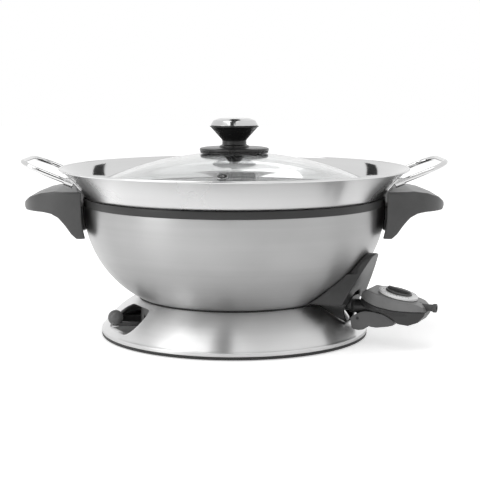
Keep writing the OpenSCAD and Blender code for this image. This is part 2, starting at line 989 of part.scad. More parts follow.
// Welded pad curved like the flare behind each leg, with a sleeve that takes the rod
module loop_brackets() {
    color("silver") {
        for (turn = [0, 180]) {
            rotate([0, 0, turn])
                difference() {
                    union() {
                        for (side = [-1, 1])
                            rotate([0, 0, side * bracket_angle])
                                bracket_pad();
                        at_loop_legs()
                            translate([0, 0, -1.5])
                                cylinder(d = rod_d + 3, h = sleeve_l);
                    }
                    at_loop_legs()
                        translate([0, 0, -flat_gap])
                            cylinder(d = rod_d + 2 * flat_gap, h = sleeve_l + 10);
                    rotate_extrude($fn = fine)
                        intersection() {
                            translate(flare_c)
                                difference() {
                                    circle(r = flare_curve_r + 8, $fn = fine);
                                    circle(r = flare_curve_r - flat_gap, $fn = fine);
                                }
                            span(pan_r - 60, pan_top_z, steamer_r + 7, steamer_top_z + 5);
                        }
                }
        }
    }
}

module bracket_pad() {
    intersection() {
        rotate_extrude($fn = fine)
            intersection() {
                translate(flare_c)
                    difference() {
                        circle(r = flare_curve_r, $fn = fine);
                        circle(r = flare_curve_r - bracket_t, $fn = fine);
                    }
                span(pan_r - 30, loop_root_z - bracket_h / 2,
                     steamer_r + 7, loop_root_z + bracket_h / 2);
            }
        translate([0, -bracket_w / 2, 0])
            cube([steamer_r + 20, bracket_w, steamer_top_z]);
    }
}

// Places children at the start of both legs of the right-hand loop, +Z along the rod
module at_loop_legs() {
    for (side = [-1, 1])
        translate([loop_root[0], side * loop_spread / 2, loop_root[1]])
            rotate([0, 90 - loop_slope, 0])
                children();
}

// ---- lid ---------------------------------------------------------------------

lid_seat_z = shoulder_z + steamer_wall + 0.8;
lid_rim_r = flare_r_at(lid_seat_z) - steamer_wall - touch;
lid_r = lid_rim_r - 1.5;
dome_c = [0, lid_seat_z + lid_edge_h - sqrt(dome_r * dome_r - lid_r * lid_r)];
lid_apex_z = dome_c[1] + dome_r;
knob_bore_r = 4;
vent_r = lid_r - 51;
vent_azimuth = 264;
vent_hole_r = 4;

function dome_z_at(r) = dome_c[1] + sqrt(pow(dome_r, 2) - r * r);

module at_vent() {
    slope = asin(vent_r / dome_r);
    rotate([0, 0, vent_azimuth])
        translate([vent_r, 0, dome_z_at(vent_r)])
            rotate([0, slope, 0])
                children();
}

// Half section of the glass, grown by t
module glass_section(t) {
    intersection() {
        difference() {
            translate(dome_c)
                circle(r = dome_r + t, $fn = 400);
            translate(dome_c)
                circle(r = dome_r - glass_t - t, $fn = 400);
        }
        span(0, lid_seat_z - 20, lid_r + t, lid_apex_z + 1);
    }
}

module lid_glass() {
    color("lightcyan", 0.4)
        difference() {
            rotate_extrude($fn = fine)
                glass_section(0);
            cylinder(r = knob_bore_r, h = 300);
            at_vent()
                cylinder(r = vent_hole_r, h = 20, center = true);
        }
}

// Steel band folded round the edge of the glass
module lid_rim() {
    rim_in_r = lid_r - 4;
    rim_top_z = dome_z_at(lid_r) + 1.8;
    color("silver")
        rotate_extrude($fn = fine)
            difference() {
                span(rim_in_r, lid_seat_z, lid_rim_r, rim_top_z);
                glass_section(flat_gap);
            }
}

module vent_grommet() {
    collar = 6.5;
    color("silver")
        at_vent()
            difference() {
                union() {
                    translate([0, 0, flat_gap])
                        cylinder(r = collar, h = 1.2);
                    translate([0, 0, -glass_t - 1.5])
                        cylinder(r = vent_hole_r - flat_gap, h = glass_t + 2);
                    translate([0, 0, -glass_t - 1.2])
                        cylinder(r = collar - 1, h = 1);
                }
                cylinder(r = 2, h = 30, center = true);
            }
}

guard_z = dome_z_at(guard_d / 2) + flat_gap;
guard_seat_z = lid_apex_z + 0.6;
guard_h = 8.1;
guard_step_z = guard_z + 3.6;
knob_z = guard_z + guard_h;
cap_z = knob_z + knob_h;
cap_top_z = cap_z + cap_h;
knob_seal_r = 12;

// Half section above the glass, with a small clearance
module above_glass() {
    difference() {
        span(0, 150, 60, 300);
        translate(dome_c)
            circle(r = dome_r + flat_gap, $fn = 400);
    }
}

module heat_guard() {
    r = guard_d / 2;
    edge = 2;
    color("black")
        rotate_extrude($fn = fine)
            intersection() {
                above_glass();
                difference() {
                    union() {
                        span(0, guard_z, r - edge, knob_z);
                        span(0, guard_z + 1.5, r - 0.8, guard_step_z - 0.6);
                        span(0, guard_step_z, r, knob_z - edge);
                        translate([r - edge, knob_z - edge])
                            circle(r = edge, $fn = 32);
                    }
                    span(-1, 0, knob_bore_r, 300);
                    span(-1, 0, knob_seal_r + flat_gap, guard_seat_z + 1);
                }
            }
}

// Soft washer between the glass and the guard
module knob_seal() {
    color("dimgray")
        rotate_extrude()
            intersection() {
                above_glass();
                span(knob_bore_r, 200, knob_seal_r, guard_seat_z + 1 - flat_gap);
            }
}

module knob_body() {
    waist = knob_waist_d / 2;
    top = knob_d / 2;
    waist_z = knob_z + 8;
    lip = 3;
    sweep_r = cap_z - lip - waist_z;
    color("black")
        rotate_extrude($fn = fine)
            difference() {
                union() {
                    span(0, knob_z + flat_gap, top, cap_z - lip / 2);
                    polygon([[0, cap_z - lip / 2], [top, cap_z - lip / 2], [top - 1, cap_z],
                             [0, cap_z]]);
                }
                translate([waist + sweep_r, waist_z])
                    circle(r = sweep_r, $fn = fine);
                span(waist + sweep_r, knob_z, top + 1, waist_z + sweep_r);
                span(-1, knob_z - 1, knob_screw_r + flat_gap, cap_z - 6);
            }
}

// Polished domed button set into the top of the knob
module knob_cap() {
    r = knob_d / 2 - 2;
    rise = cap_top_z - cap_z;
    cap_r = (r * r + rise * rise) / (2 * rise);
    color("silver")
        rotate_extrude($fn = fine)
            intersection() {
                translate([0, cap_top_z - cap_r])
                    circle(r = cap_r, $fn = fine);
                span(0, cap_z + flat_gap, r, cap_top_z);
            }
}

washer_z = lid_apex_z - glass_t - 1.2;

module knob_washer() {
    color("black")
        rotate_extrude()
            difference() {
                polygon([[0, washer_z], [13, washer_z], [7, washer_z - 7], [0, washer_z - 7]]);
                span(-1, 0, knob_screw_r + flat_gap, 300);
            }
}

knob_screw_r = 2.3;

module knob_screw() {
    color("silver") {
        translate([0, 0, washer_z - 7 - flat_gap - 3])
            cylinder(r = 6, h = 3);
        translate([0, 0, washer_z - 7 - flat_gap - 1])
            cylinder(r = knob_screw_r, h = 30);
    }
}

// ---- control probe -------------------------------------------------------------

dial_s = 207.5;
body_s1 = 166.5;
body_s2 = 243;
top_edge_s = 176;
top_edge_z = 67.4;
neck_z = 44;
probe_neck_r = 8;
part_gap = 0.1;
leaf_half_w = 26;
leaf_curve_r = 60;

function top_z_at(s) = top_edge_z - (s - top_edge_s) * tan(top_slope);

// Side outlines of the two shells, shared parting line
parting = [[body_s1, 56.5], [178, 52], [190, 49], [210, 46.5], [body_s2, 44.8]];

module top_outline() {
    polygon(concat(parting, [
        [body_s2 - 3, top_z_at(body_s2) - 1.5], [body_s2 - 8, top_z_at(body_s2 - 8)],
        [top_edge_s, top_edge_z], [169.5, 63.8]]));
}

module bottom_outline() {
    polygon(concat([for (p = parting) p - [0, part_gap]], [
        [body_s2 - 1, 40.5], [236, 33.2], [226, 29.8], [215, 31.5], [208, 37.5], [200, 41.2],
        [192, 43.4], [180, 43.6], [172, 46], [body_s1, 48]]));
}

// Plan outline: a leaf with its widest place under the dial
module plan_outline(t) {
    intersection() {
        translate([dial_s - 3, leaf_half_w - leaf_curve_r - t])
            circle(r = leaf_curve_r, $fn = fine);
        translate([dial_s - 3, leaf_curve_r - leaf_half_w + t])
            circle(r = leaf_curve_r, $fn = fine);
        translate([body_s1 + t, -40])
            square([body_s2 - body_s1 - 2 * t, 80]);
    }
}

module shell_block(t) {
    intersection() {
        translate([0, 40, 0])
            rotate([90, 0, 0])
                linear_extrude(height = 80)
                    children();
        linear_extrude(height = 90)
            plan_outline(t);
    }
}

module at_dial() {
    translate([dial_s, 0, top_z_at(dial_s)])
        rotate([0, top_slope, 0])
            children();
}

spindle_r = 3;
screw_s = [182, 234];
boss_od = 7;

module probe_top_shell() {
    color("gray")
        at_socket()
            difference() {
                shell_block(0)
                    top_outline();
                difference() {
                    shell_block(2.2)
                        polygon([[172, 40], [body_s2 - 4, 40],
                                 [body_s2 - 8, top_z_at(body_s2 - 8) - 2.5],
                                 [top_edge_s, top_edge_z - 2.5], [172, 62]]);
                    for (s = screw_s)
                        translate([s, 0, 0])
                            cylinder(d = boss_od, h = 90);
                }
                at_dial()
                    cylinder(r = spindle_r + run_gap, h = 30, center = true);
                for (s = screw_s)
                    translate([s, 0, 40])
                        cylinder(d = 2.4, h = 15);
                gland_cut();
                at_lens()
                    translate([0, 0, -2])
                        cylinder(d = 6 + 2 * flat_gap, h = 10);
            }
}

module probe_bottom_shell() {
    color("dimgray")
        at_socket()
            difference() {
                shell_block(0)
                    bottom_outline();
                difference() {
                    shell_block(2.2)
                        polygon([[180, 46], [200, 43.8], [body_s2 - 4, 42],
                                 [body_s2 - 4, 60], [180, 60]]);
                    for (s = screw_s)
                        translate([s, 0, 0])
                            cylinder(d = boss_od, h = 90);
                }
                for (s = screw_s)
                    translate([s, 0, 20])
                        cylinder(d = 2.9, h = 40);
                translate([screw_s[1], 0, 20])
                    cylinder(d = 5.6, h = 19);
                gland_cut();
                translate([neck_s, 0, neck_z])
                    rotate([0, 90, 0])
                        cylinder(r = probe_neck_r + flat_gap, h = neck_end_s - neck_s + flat_gap);
            }
}

// Neck and nose of the probe, with a tongue below that carries the trigger
neck_s = 150;
neck_end_s = 176;
nose_s1 = 138;
nose_s2 = 156;
tongue_w = 6;
trigger_w = 24;
trigger_pin_s = 162.5;
trigger_pin_z = 31.5;
trigger_pin_r = 1.5;

module probe_nose() {
    color("dimgray")
        at_socket()
            difference() {
                union() {
                    translate([neck_s, 0, neck_z])
                        rotate([0, 90, 0])
                            cylinder(r = probe_neck_r, h = neck_end_s - neck_s);
                    translate([nose_s1, 0, drawn_pin_z - 3])
                        rotate([90, 0, 90])
                            linear_extrude(height = nose_s2 - nose_s1)
                                round_slot(15.5, 8.5);
                    translate([trigger_pin_s - 4, -tongue_w / 2, trigger_pin_z - 4])
                        cube([8, tongue_w, neck_z - trigger_pin_z - 2]);
                }
                translate([0, 0, rod_z])
                    rotate([0, 90, 0])
                        cylinder(r = rod_r + run_gap, h = nose_s2 - 4);
                for (w = [-1, 1])
                    translate([0, w * pin_spread, drawn_pin_z])
                        rotate([0, 90, 0])
                            cylinder(r = tube_out_r + flat_gap, h = nose_s2 - 4);
                translate([trigger_pin_s, 0, trigger_pin_z])
                    rotate([90, 0, 0])
                        cylinder(r = trigger_pin_r + run_gap, h = 30, center = true);
            }
}

tube_out_r = 3.6;
tube_start_s = 129.5;

module contact_tubes() {
    color("goldenrod")
        at_socket()
            for (w = [-1, 1])
                translate([tube_start_s, w * pin_spread, drawn_pin_z])
                    rotate([0, 90, 0])
                        difference() {
                            cylinder(r = tube_out_r, h = nose_s2 - 4.1 - tube_start_s);
                            translate([0, 0, -1])
                                cylinder(r = pin_r + fit_gap, h = pin_end_s - tube_start_s + 3);
                        }
}

module sensing_rod() {
    color("silver")
        at_socket()
            translate([rod_tip_s, 0, rod_z])
                rotate([0, 90, 0])
                    cylinder(r = rod_r, h = nose_s2 - 4.1 - rod_tip_s);
}

thermostat_box = [30, 22, 6.8];

// Snap-action contact block under the dial's spindle
module thermostat() {
    color("tan")
        at_socket()
            translate([dial_s - thermostat_box[0] / 2, -thermostat_box[1] / 2, 45.6])
                cube(thermostat_box);
}

dial_gap = 0.6;
scale_t = 3.2;
dial_knob_d = 31;

module dial_spindle() {
    color("silver")
        at_socket()
            at_dial()
                translate([0, 0, -6.5])
                    cylinder(r = spindle_r, h = 6.5 + dial_gap + scale_t + 2.6);
}

module dial_scale() {
    color("white")
        at_socket()
            at_dial()
                translate([0, 0, dial_gap])
                    difference() {
                        cylinder(d = dial_d, h = scale_t);
                        translate([0, 0, -1])
                            cylinder(r = spindle_r + flat_gap, h = 20);
                    }
}

module dial_knob() {
    color("dimgray")
        at_socket()
            at_dial()
                translate([0, 0, dial_gap + scale_t + flat_gap])
                    difference() {
                        union() {
                            cylinder(d = dial_knob_d, h = 1.8);
                            translate([-dial_knob_d / 2 + 1.5, -3, 0])
                                cube([dial_knob_d - 3, 6, 4]);
                        }
                        translate([0, 0, -1])
                            cylinder(r = spindle_r + flat_gap, h = 3.6 + flat_gap);
                    }
}

// Places children on the sloping front of the probe, +Z out of the face
module at_lens() {
    translate([168, 0, 60.2])
        rotate([0, -71, 0])
            children();
}

module indicator_lens() {
    color("orange")
        at_socket()
            at_lens()
                translate([0, 0, -1.9])
                    cylinder(d = 6, h = 2.6);
}

module trigger_outline() {
    polygon([
        [153.5, 31], [155.5, 20], [157.5, 18.4], [164, 17.6], [170, 19], [173.5, 21.5],
        [176, 23.6], [179, 22.6], [186, 22.4], [199, 24.6], [205.5, 26.5], [207, 29.5],
        [205.5, 32.5], [195, 38.2], [184, 40.4], [172, 41], [166, 39.3], [160, 36],
        [156, 33.8]]);
}

module release_trigger() {
    color("gray")
        at_socket()
            difference() {
                translate([0, trigger_w / 2, 0])
                    rotate([90, 0, 0])
                        linear_extrude(height = trigger_w)
                            trigger_outline();
                translate([trigger_pin_s - 6.5, -tongue_w / 2 - fit_gap, trigger_pin_z - 6])
                    cube([13, tongue_w + 2 * fit_gap, 20]);
                translate([trigger_pin_s, 0, trigger_pin_z])
                    rotate([90, 0, 0])
                        cylinder(r = trigger_pin_r + run_gap, h = 30, center = true);
                translate([spring_s, 0, spring_z])
                    cylinder(r = spring_r + 0.4, h = 20);
                translate([neck_s - 2, 0, neck_z])
                    rotate([0, 90, 0])
                        cylinder(r = probe_neck_r + 1.2, h = neck_end_s - neck_s + 5);
            }
}

spring_s = 186;
spring_z = 28;
spring_top_z = 43.2;
spring_r = 2.5;

module trigger_pin() {
    color("silver")
        at_socket()
            translate([trigger_pin_s, trigger_w / 2 + 0.2, trigger_pin_z])
                rotate([90, 0, 0])
                    cylinder(r = trigger_pin_r, h = trigger_w + 0.4);
}

module trigger_spring() {
    color("silver")
        at_socket()
            translate([spring_s, 0, spring_z + flat_gap])
                difference() {
                    cylinder(r = spring_r, h = spring_top_z - spring_z);
                    translate([0, 0, -1])
                        cylinder(r = spring_r - 0.8, h = 40);
                }
}

module probe_screws() {
    color("silver")
        at_socket()
            translate([screw_s[1], 0, 38.9])
                rotate([180, 0, 0])
                    screw(2.3, 5, 1.6, 12);
}

gland_z = 48.6;
gland_len = 10;

module gland_cut() {
    translate([body_s2 - 8, 0, gland_z])
        rotate([0, 90, 0])
            cylinder(r = 4 + flat_gap, h = 20);
}

// Cord strain relief: a sleeve with a collar at its open end
module cord_gland() {
    color("gray")
        at_socket()
            translate([body_s2 - 7, 0, gland_z])
                rotate([0, 90, 0])
                    rotate_extrude($fn = 48)
                        difference() {
                            union() {
                                span(0, 0, 4, 7 + gland_len - 3);
                                span(0, 7 + gland_len - 4, 5, 7 + gland_len);
                            }
                            span(-1, -1, 2.7, 30);
                        }
}

// ---- all parts -----------------------------------------------------------------

base_skirt();
foot_ring();
rubber_feet();
base_frame();
seat_ring();
lever_recess();
frame_screws();
release_lever();
ball_knob();
knob_stem();
lever_pin();
latch_bolt();
pan_shell();
cast_bowl();
trim_band();
heating_element();
base_plate();
lock_stud();
plate_screws();
terminal_pins();
pin_insulators();
socket_shroud();
shroud_studs();
left_handle();
right_handle();
handle_screws();
steamer_bowl();
left_loop();
right_loop();
loop_brackets();
lid_glass();
lid_rim();
vent_grommet();
heat_guard();
knob_seal();
knob_body();
knob_cap();
knob_washer();
knob_screw();
probe_top_shell();
probe_bottom_shell();
probe_nose();
sensing_rod();
contact_tubes();
thermostat();
dial_spindle();
dial_scale();
dial_knob();
indicator_lens();
release_trigger();
trigger_pin();
trigger_spring();
probe_screws();
cord_gland();
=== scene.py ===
# %% [markdown]
# An electric wok, finished for a studio picture.
# The engineering model arrives as a fixed frame in metres: a pressed steel base, a deep steel pan with
# two moulded handles, a flared steamer insert, a domed glass lid and a plug-in control probe.
# This lesson gives each of those pieces the soft edges and the surface that the plain solids lack.

# %% Load the frame
import json
import math
import bmesh
import bpy
from mathutils import Matrix, Vector


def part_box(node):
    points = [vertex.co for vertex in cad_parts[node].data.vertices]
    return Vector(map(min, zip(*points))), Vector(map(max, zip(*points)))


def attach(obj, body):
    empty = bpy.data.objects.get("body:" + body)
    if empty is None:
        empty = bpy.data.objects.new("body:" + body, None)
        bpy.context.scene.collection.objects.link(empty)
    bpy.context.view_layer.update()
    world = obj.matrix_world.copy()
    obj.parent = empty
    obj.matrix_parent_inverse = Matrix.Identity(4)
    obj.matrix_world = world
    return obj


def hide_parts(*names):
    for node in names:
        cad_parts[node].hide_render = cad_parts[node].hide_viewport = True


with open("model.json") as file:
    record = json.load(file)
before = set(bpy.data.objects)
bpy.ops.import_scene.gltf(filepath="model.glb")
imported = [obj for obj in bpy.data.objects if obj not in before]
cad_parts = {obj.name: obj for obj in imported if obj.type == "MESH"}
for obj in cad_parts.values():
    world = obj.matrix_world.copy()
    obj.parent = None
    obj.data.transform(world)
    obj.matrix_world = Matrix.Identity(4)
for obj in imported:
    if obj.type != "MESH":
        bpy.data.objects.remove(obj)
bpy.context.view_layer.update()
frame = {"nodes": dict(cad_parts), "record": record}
MM = 0.001

# %% [markdown]
# The camera stands where the photographer stood: one and a half metres in front, a hand above the rim,
# looking slightly down through a long lens, which keeps the ellipses of the rims flat.

# %% Place the camera
PICTURE_WIDTH, SENSOR_WIDTH = 480, 36
FOCAL_PIXELS = 1206.9
CAMERA_PLACE = (6.8 * MM, -1449.7 * MM, 309.3 * MM)
CAMERA_DOWN = math.radians(7.746)


def add_object(name, data):
    """An object with that data, linked to the scene."""
    made = bpy.data.objects.new(name, data)
    bpy.context.collection.objects.link(made)
    return made


camera_data = bpy.data.cameras.new("camera")
camera_data.sensor_width = SENSOR_WIDTH
camera_data.lens = SENSOR_WIDTH * FOCAL_PIXELS / PICTURE_WIDTH
camera = add_object("camera", camera_data)
camera.location = CAMERA_PLACE
camera.rotation_euler = (math.pi / 2 - CAMERA_DOWN, 0, 0)
bpy.context.scene.camera = camera
bpy.context.scene.view_settings.view_transform = "Standard"
print("lens, mm:", round(camera_data.lens, 1))

# %% [markdown]
# Small helpers for node trees keep each material short. A node is made with its inputs given by name,
# and a link is one call.

# %% Helpers for node trees
def add_node(tree, kind, settings=None, **inputs):
    """A node of that kind, with settings as attributes and inputs set or linked by name."""
    node = tree.nodes.new(kind)
    for name, value in (settings or {}).items():
        setattr(node, name, value)
    set_inputs(tree, node, **inputs)
    return node


def set_inputs(tree, node, **inputs):
    """Sets or links several inputs, an underscore in a name standing for a space."""
    for name, value in inputs.items():
        set_input(tree, node, name.replace("_", " "), value)


def set_input(tree, node, name, value):
    """Sets one input, by name or by number, to a value or to another node's output."""
    socket = node.inputs[name]
    if isinstance(value, bpy.types.NodeSocket):
        tree.links.new(value, socket)
    else:
        socket.default_value = value


def math_node(tree, operation, first, second=0.0):
    """A Math node's output."""
    node = add_node(tree, "ShaderNodeMath", {"operation": operation})
    set_input(tree, node, 0, first)
    set_input(tree, node, 1, second)
    return node.outputs[0]


def blend_colours(tree, share, first, second):
    """A Mix node's colour output."""
    node = add_node(tree, "ShaderNodeMix", {"data_type": "RGBA"})
    set_input(tree, node, 0, share)
    set_input(tree, node, 6, first)
    set_input(tree, node, 7, second)
    return node.outputs[2]


def grey(value):
    return (value, value, value, 1)


def add_sockets(tree, inputs, kind="NodeSocketFloat"):
    """Named inputs of a group, with the values they have by default."""
    for label, value in inputs.items():
        tree.interface.new_socket(label, in_out="INPUT", socket_type=kind).default_value = value


def new_group(name, inputs, outputs):
    """A shader node group with named float inputs and named outputs, and its two end nodes."""
    group = bpy.data.node_groups.new(name, "ShaderNodeTree")
    add_sockets(group, inputs)
    for label in outputs:
        group.interface.new_socket(label, in_out="OUTPUT", socket_type="NodeSocketFloat")
    return group, group.nodes.new("NodeGroupInput"), group.nodes.new("NodeGroupOutput")


def use_group(tree, group, **inputs):
    return add_node(tree, "ShaderNodeGroup", {"node_tree": group}, **inputs)

# %% [markdown]
# Turned and polished steel carries fine rings, because the wheel runs round the piece. The group works
# out each point's distance from the axis and its height, and reads stretched noise there, so the rings
# follow the shape wherever they are. It gives a height for bumps and two shades.

# %% Group: rings left by polishing
def make_polishing_rings():
    group, start, end = new_group(
        "polishing_rings", {"Rings": 900.0, "Wander": 3.0}, ["Height", "Shade", "Cloud"])
    place = add_node(group, "ShaderNodeTexCoord").outputs["Object"]
    split = add_node(group, "ShaderNodeSeparateXYZ", Vector=place).outputs
    across = math_node(group, "MULTIPLY", split["X"], split["X"])
    along = math_node(group, "MULTIPLY", split["Y"], split["Y"])
    radius = math_node(group, "SQRT", math_node(group, "ADD", across, along))
    turn = math_node(group, "ARCTAN2", split["Y"], split["X"])
    ring_place = add_node(
        group, "ShaderNodeCombineXYZ",
        X=math_node(group, "MULTIPLY", radius, start.outputs["Rings"]),
        Y=math_node(group, "MULTIPLY", split["Z"], start.outputs["Rings"]),
        Z=math_node(group, "MULTIPLY", math_node(group, "ABSOLUTE", turn), start.outputs["Wander"]))
    fine = add_node(group, "ShaderNodeTexNoise", Vector=ring_place.outputs[0], Scale=1.0, Detail=4.0)
    broad = add_node(group, "ShaderNodeTexNoise", Vector=ring_place.outputs[0], Scale=0.12, Detail=2.0)
    cloud = add_node(group, "ShaderNodeTexNoise", Vector=place, Scale=14.0, Detail=3.0)
    set_inputs(group, end, Height=fine.outputs[0], Shade=broad.outputs[0], Cloud=cloud.outputs[0])
    return group


POLISHING_RINGS = make_polishing_rings()

# %% [markdown]
# Moulded plastic is never quite smooth: the tool leaves a fine spark-eroded grain, and hands leave
# patches that shine a little more. Both come from noise on Object coordinates.

# %% Group: moulded grain and handling
def make_moulded_grain():
    group, start, end = new_group(
        "moulded_grain", {"Grains": 2200.0, "Patches": 30.0}, ["Height", "Patch"])
    place = add_node(group, "ShaderNodeTexCoord").outputs["Object"]
    grain = add_node(
        group, "ShaderNodeTexNoise", Vector=place, Detail=2.0, Scale=start.outputs["Grains"])
    patch = add_node(
        group, "ShaderNodeTexNoise", Vector=place, Detail=4.0, Scale=start.outputs["Patches"])
    set_inputs(group, end, Height=grain.outputs[0], Patch=patch.outputs[0])
    return group


MOULDED_GRAIN = make_moulded_grain()

# %% [markdown]
# Two makers of materials follow, one for metal and one for plastic. The metal one keeps Metallic at one
# and takes its tangent round the vertical axis. The brushing marks run round the piece, so the highlight
# has to spread across them, up and down, and the anisotropy is turned a quarter. Colour and roughness
# vary a little with the rings.

# %% Metal and plastic materials
FINISHES = {}


def new_material(name):
    """A material, kept under its name in FINISHES, with its node tree and its shader."""
    material = bpy.data.materials.new(name)
    FINISHES[name] = material
    material.use_nodes = True
    return material, material.node_tree, material.node_tree.nodes["Principled BSDF"]


def spread(tree, value, low, high):
    """Maps a noise value's middle half to a range."""
    node = add_node(
        tree, "ShaderNodeMapRange", Value=value, From_Min=0.3, From_Max=0.7, To_Min=low, To_Max=high)
    return node.outputs[0]


def wear(tree, shader, shade, roughness, uneven, height, depth, distance):
    """Roughness that varies by a share with one shade of noise, and bumps from a height."""
    rough = spread(tree, shade, roughness * (1 - uneven), roughness * (1 + uneven))
    bump = add_node(tree, "ShaderNodeBump", Height=height, Strength=depth, Distance=distance)
    set_inputs(tree, shader, Roughness=rough, Normal=bump.outputs[0])


QUARTER_TURN = 0.25
STEEL_UNEVEN, PLASTIC_UNEVEN = 0.15, 0.12
RING_DEPTH, GRAIN_DEPTH = 0.0004, 0.0002


def make_steel(name, shade, roughness, brushing=0.0, rings=900.0, depth=0.02, variation=0.04):
    """Spun stainless steel."""
    material, tree, shader = new_material(name)
    marks = use_group(tree, POLISHING_RINGS, Rings=rings).outputs
    tone = spread(tree, marks["Shade"], 0.0, 1.0)
    colour = blend_colours(tree, tone, grey(shade - variation), grey(shade + variation))
    set_inputs(tree, shader, Base_Color=colour, Metallic=1.0)
    wear(tree, shader, marks["Cloud"], roughness, STEEL_UNEVEN, marks["Height"], depth, RING_DEPTH)
    if brushing:
        tangent = add_node(tree, "ShaderNodeTangent", {"direction_type": "RADIAL", "axis": "Z"})
        set_inputs(tree, shader, Anisotropic=brushing, Anisotropic_Rotation=QUARTER_TURN,
                   Tangent=tangent.outputs[0])
    return material


def make_plastic(
        name, shade, roughness, grains=2200.0, depth=0.12, variation=0.15, tint=(1, 1, 1), metallic=0.0):
    """Moulded plastic or rubber, with its grain and a little uneven sheen. Brass is made here too."""
    material, tree, shader = new_material(name)
    marks = use_group(tree, MOULDED_GRAIN, Grains=grains).outputs
    patch = spread(tree, marks["Patch"], 0.0, 1.0)
    dark = [shade * (1 - variation) * part for part in tint] + [1]
    light = [shade * (1 + variation) * part for part in tint] + [1]
    set_inputs(
        tree, shader, Base_Color=blend_colours(tree, patch, dark, light), Metallic=metallic)
    wear(tree, shader, marks["Patch"], roughness, PLASTIC_UNEVEN, marks["Height"], depth, GRAIN_DEPTH)
    return material


base_steel = make_steel("base_steel", 0.74, 0.36, brushing=0.92, rings=1400.0, depth=0.04, variation=0.012)
pan_steel = make_steel("pan_steel", 0.43, 0.40, brushing=0.8, rings=1400.0, depth=0.04, variation=0.010)
steamer_steel = make_steel(
    "steamer_steel", 0.70, 0.30, brushing=0.8, rings=600.0, depth=0.01, variation=0.012)
steamer_polished = make_steel("steamer_polished", 0.66, 0.07, rings=600.0, depth=0.004, variation=0.01)
rim_steel = make_steel("rim_steel", 0.5, 0.10, rings=600.0, depth=0.005, variation=0.02)
cap_steel = make_steel("cap_steel", 0.60, 0.12, rings=1200.0, depth=0.01, variation=0.03)
loop_steel = make_steel("loop_steel", 0.66, 0.08, depth=0.01, variation=0.02)
fastener_steel = make_steel("fastener_steel", 0.60, 0.30, rings=3000.0, depth=0.05)
make_steel("latch_steel", 0.55, 0.38, rings=800.0, depth=0.08)
make_steel("element_dark", 0.16, 0.55, rings=500.0, depth=0.1)
make_plastic("contact_brass", 0.6, 0.3, tint=(1.1, 0.86, 0.45), metallic=1.0)
band_dark = make_plastic("band_dark", 0.020, 0.38, depth=0.04)
base_black = make_plastic("base_black", 0.022, 0.45)
# The seat ring's near-black is partly painted shade, for the seam between base and pan.
seat_black = make_plastic("seat_black", 0.012, 0.6)
make_plastic("pad_rubber", 0.02, 0.8, grains=1200.0, depth=0.3)
recess_grey = make_plastic("recess_grey", 0.30, 0.35)
lever_black = make_plastic("lever_black", 0.018, 0.35)
ball_grey = make_plastic("ball_grey", 0.11, 0.22, depth=0.03)
stem_white = make_plastic("stem_white", 0.75, 0.3)
make_plastic("cast_black", 0.035, 0.42, grains=1500.0, depth=0.25)
shroud_dark = make_plastic("shroud_dark", 0.034, 0.34)
shroud_black = make_plastic("shroud_black", 0.006, 0.24)
make_plastic("pin_black", 0.03, 0.30)
handle_dark = make_plastic("handle_dark", 0.072, 0.32)
knob_black = make_plastic("knob_black", 0.014, 0.28, depth=0.06)
make_plastic("seal_dark", 0.05, 0.7)
probe_grey = make_plastic("probe_grey", 0.19, 0.34)
probe_dark = make_plastic("probe_dark", 0.03, 0.36)
trigger_grey = make_plastic("trigger_grey", 0.14, 0.42)
gland_grey = make_plastic("gland_grey", 0.07, 0.6)
scale_white = make_plastic("scale_white", 0.92, 0.35, depth=0.04, variation=0.03)
dial_dark = make_plastic("dial_dark", 0.05, 0.35)
print_grey = make_plastic("print_grey", 0.10, 0.5)
make_plastic("ceramic_white", 0.76, 0.3, tint=(1, 0.98, 0.93))
make_plastic("thermostat_tan", 0.45, 0.6, tint=(1.1, 0.9, 0.6))
lens_amber = make_plastic("lens_amber", 0.5, 0.15, depth=0.02, tint=(1.2, 0.5, 0.15))
print("materials:", len(bpy.data.materials))

# %% [markdown]
# Clear glass bends what stands behind it, and it is the thickness that makes it look real, so the lid
# is a shell with two faces and the material only has to be smooth and clear.

# %% Glass
def make_glass(name):
    material, tree, shader = new_material(name)
    marks = use_group(tree, MOULDED_GRAIN, Patches=9.0)
    set_inputs(tree, shader, Base_Color=(0.97, 0.98, 0.98, 1), Transmission_Weight=1.0, IOR=1.5,
               Roughness=spread(tree, marks.outputs["Patch"], 0.0, 0.02))
    return material


lid_clear = make_glass("lid_clear")

# %% [markdown]
# Most of the wok was spun or turned, so most pieces are an outline swept round the upright axis. The
# outline is a closed list of points, distance from the axis and height in millimetres. A corner may
# carry a third number, its fillet. Spinning the outline once in code gives clean rings of four-sided
# faces, which shade smoothly.

# %% Helpers for turned pieces
def arc(centre, radius, start, end, steps):
    """Points along a circular arc, angles in degrees, anticlockwise if end is above start."""
    points = []
    for i in range(steps + 1):
        angle = math.radians(start + (end - start) * i / steps)
        points.append((centre[0] + radius * math.cos(angle), centre[1] + radius * math.sin(angle)))
    return points


def fillet(outline, steps=5):
    """Rounds each corner that carries a third number, which is the radius there."""
    points = []
    count = len(outline)
    for i, corner in enumerate(outline):
        here = Vector(corner[:2])
        if len(corner) < 3 or corner[2] <= 0:
            points.append(tuple(here))
            continue
        back = Vector(outline[i - 1][:2]) - here
        on = Vector(outline[(i + 1) % count][:2]) - here
        half = back.angle(on) / 2
        reach = min(corner[2] / math.tan(half), back.length * 0.49, on.length * 0.49)
        start = here + back.normalized() * reach
        end = here + on.normalized() * reach
        for k in range(steps + 1):
            t = k / steps
            points.append(tuple(start * (1 - t) ** 2 + here * 2 * t * (1 - t) + end * t * t))
    return points


SAME_PLACE, TINY_EDGE = 1e-6, 1e-7
TURNED_ANGLE, MOULDED_ANGLE = 35, 50


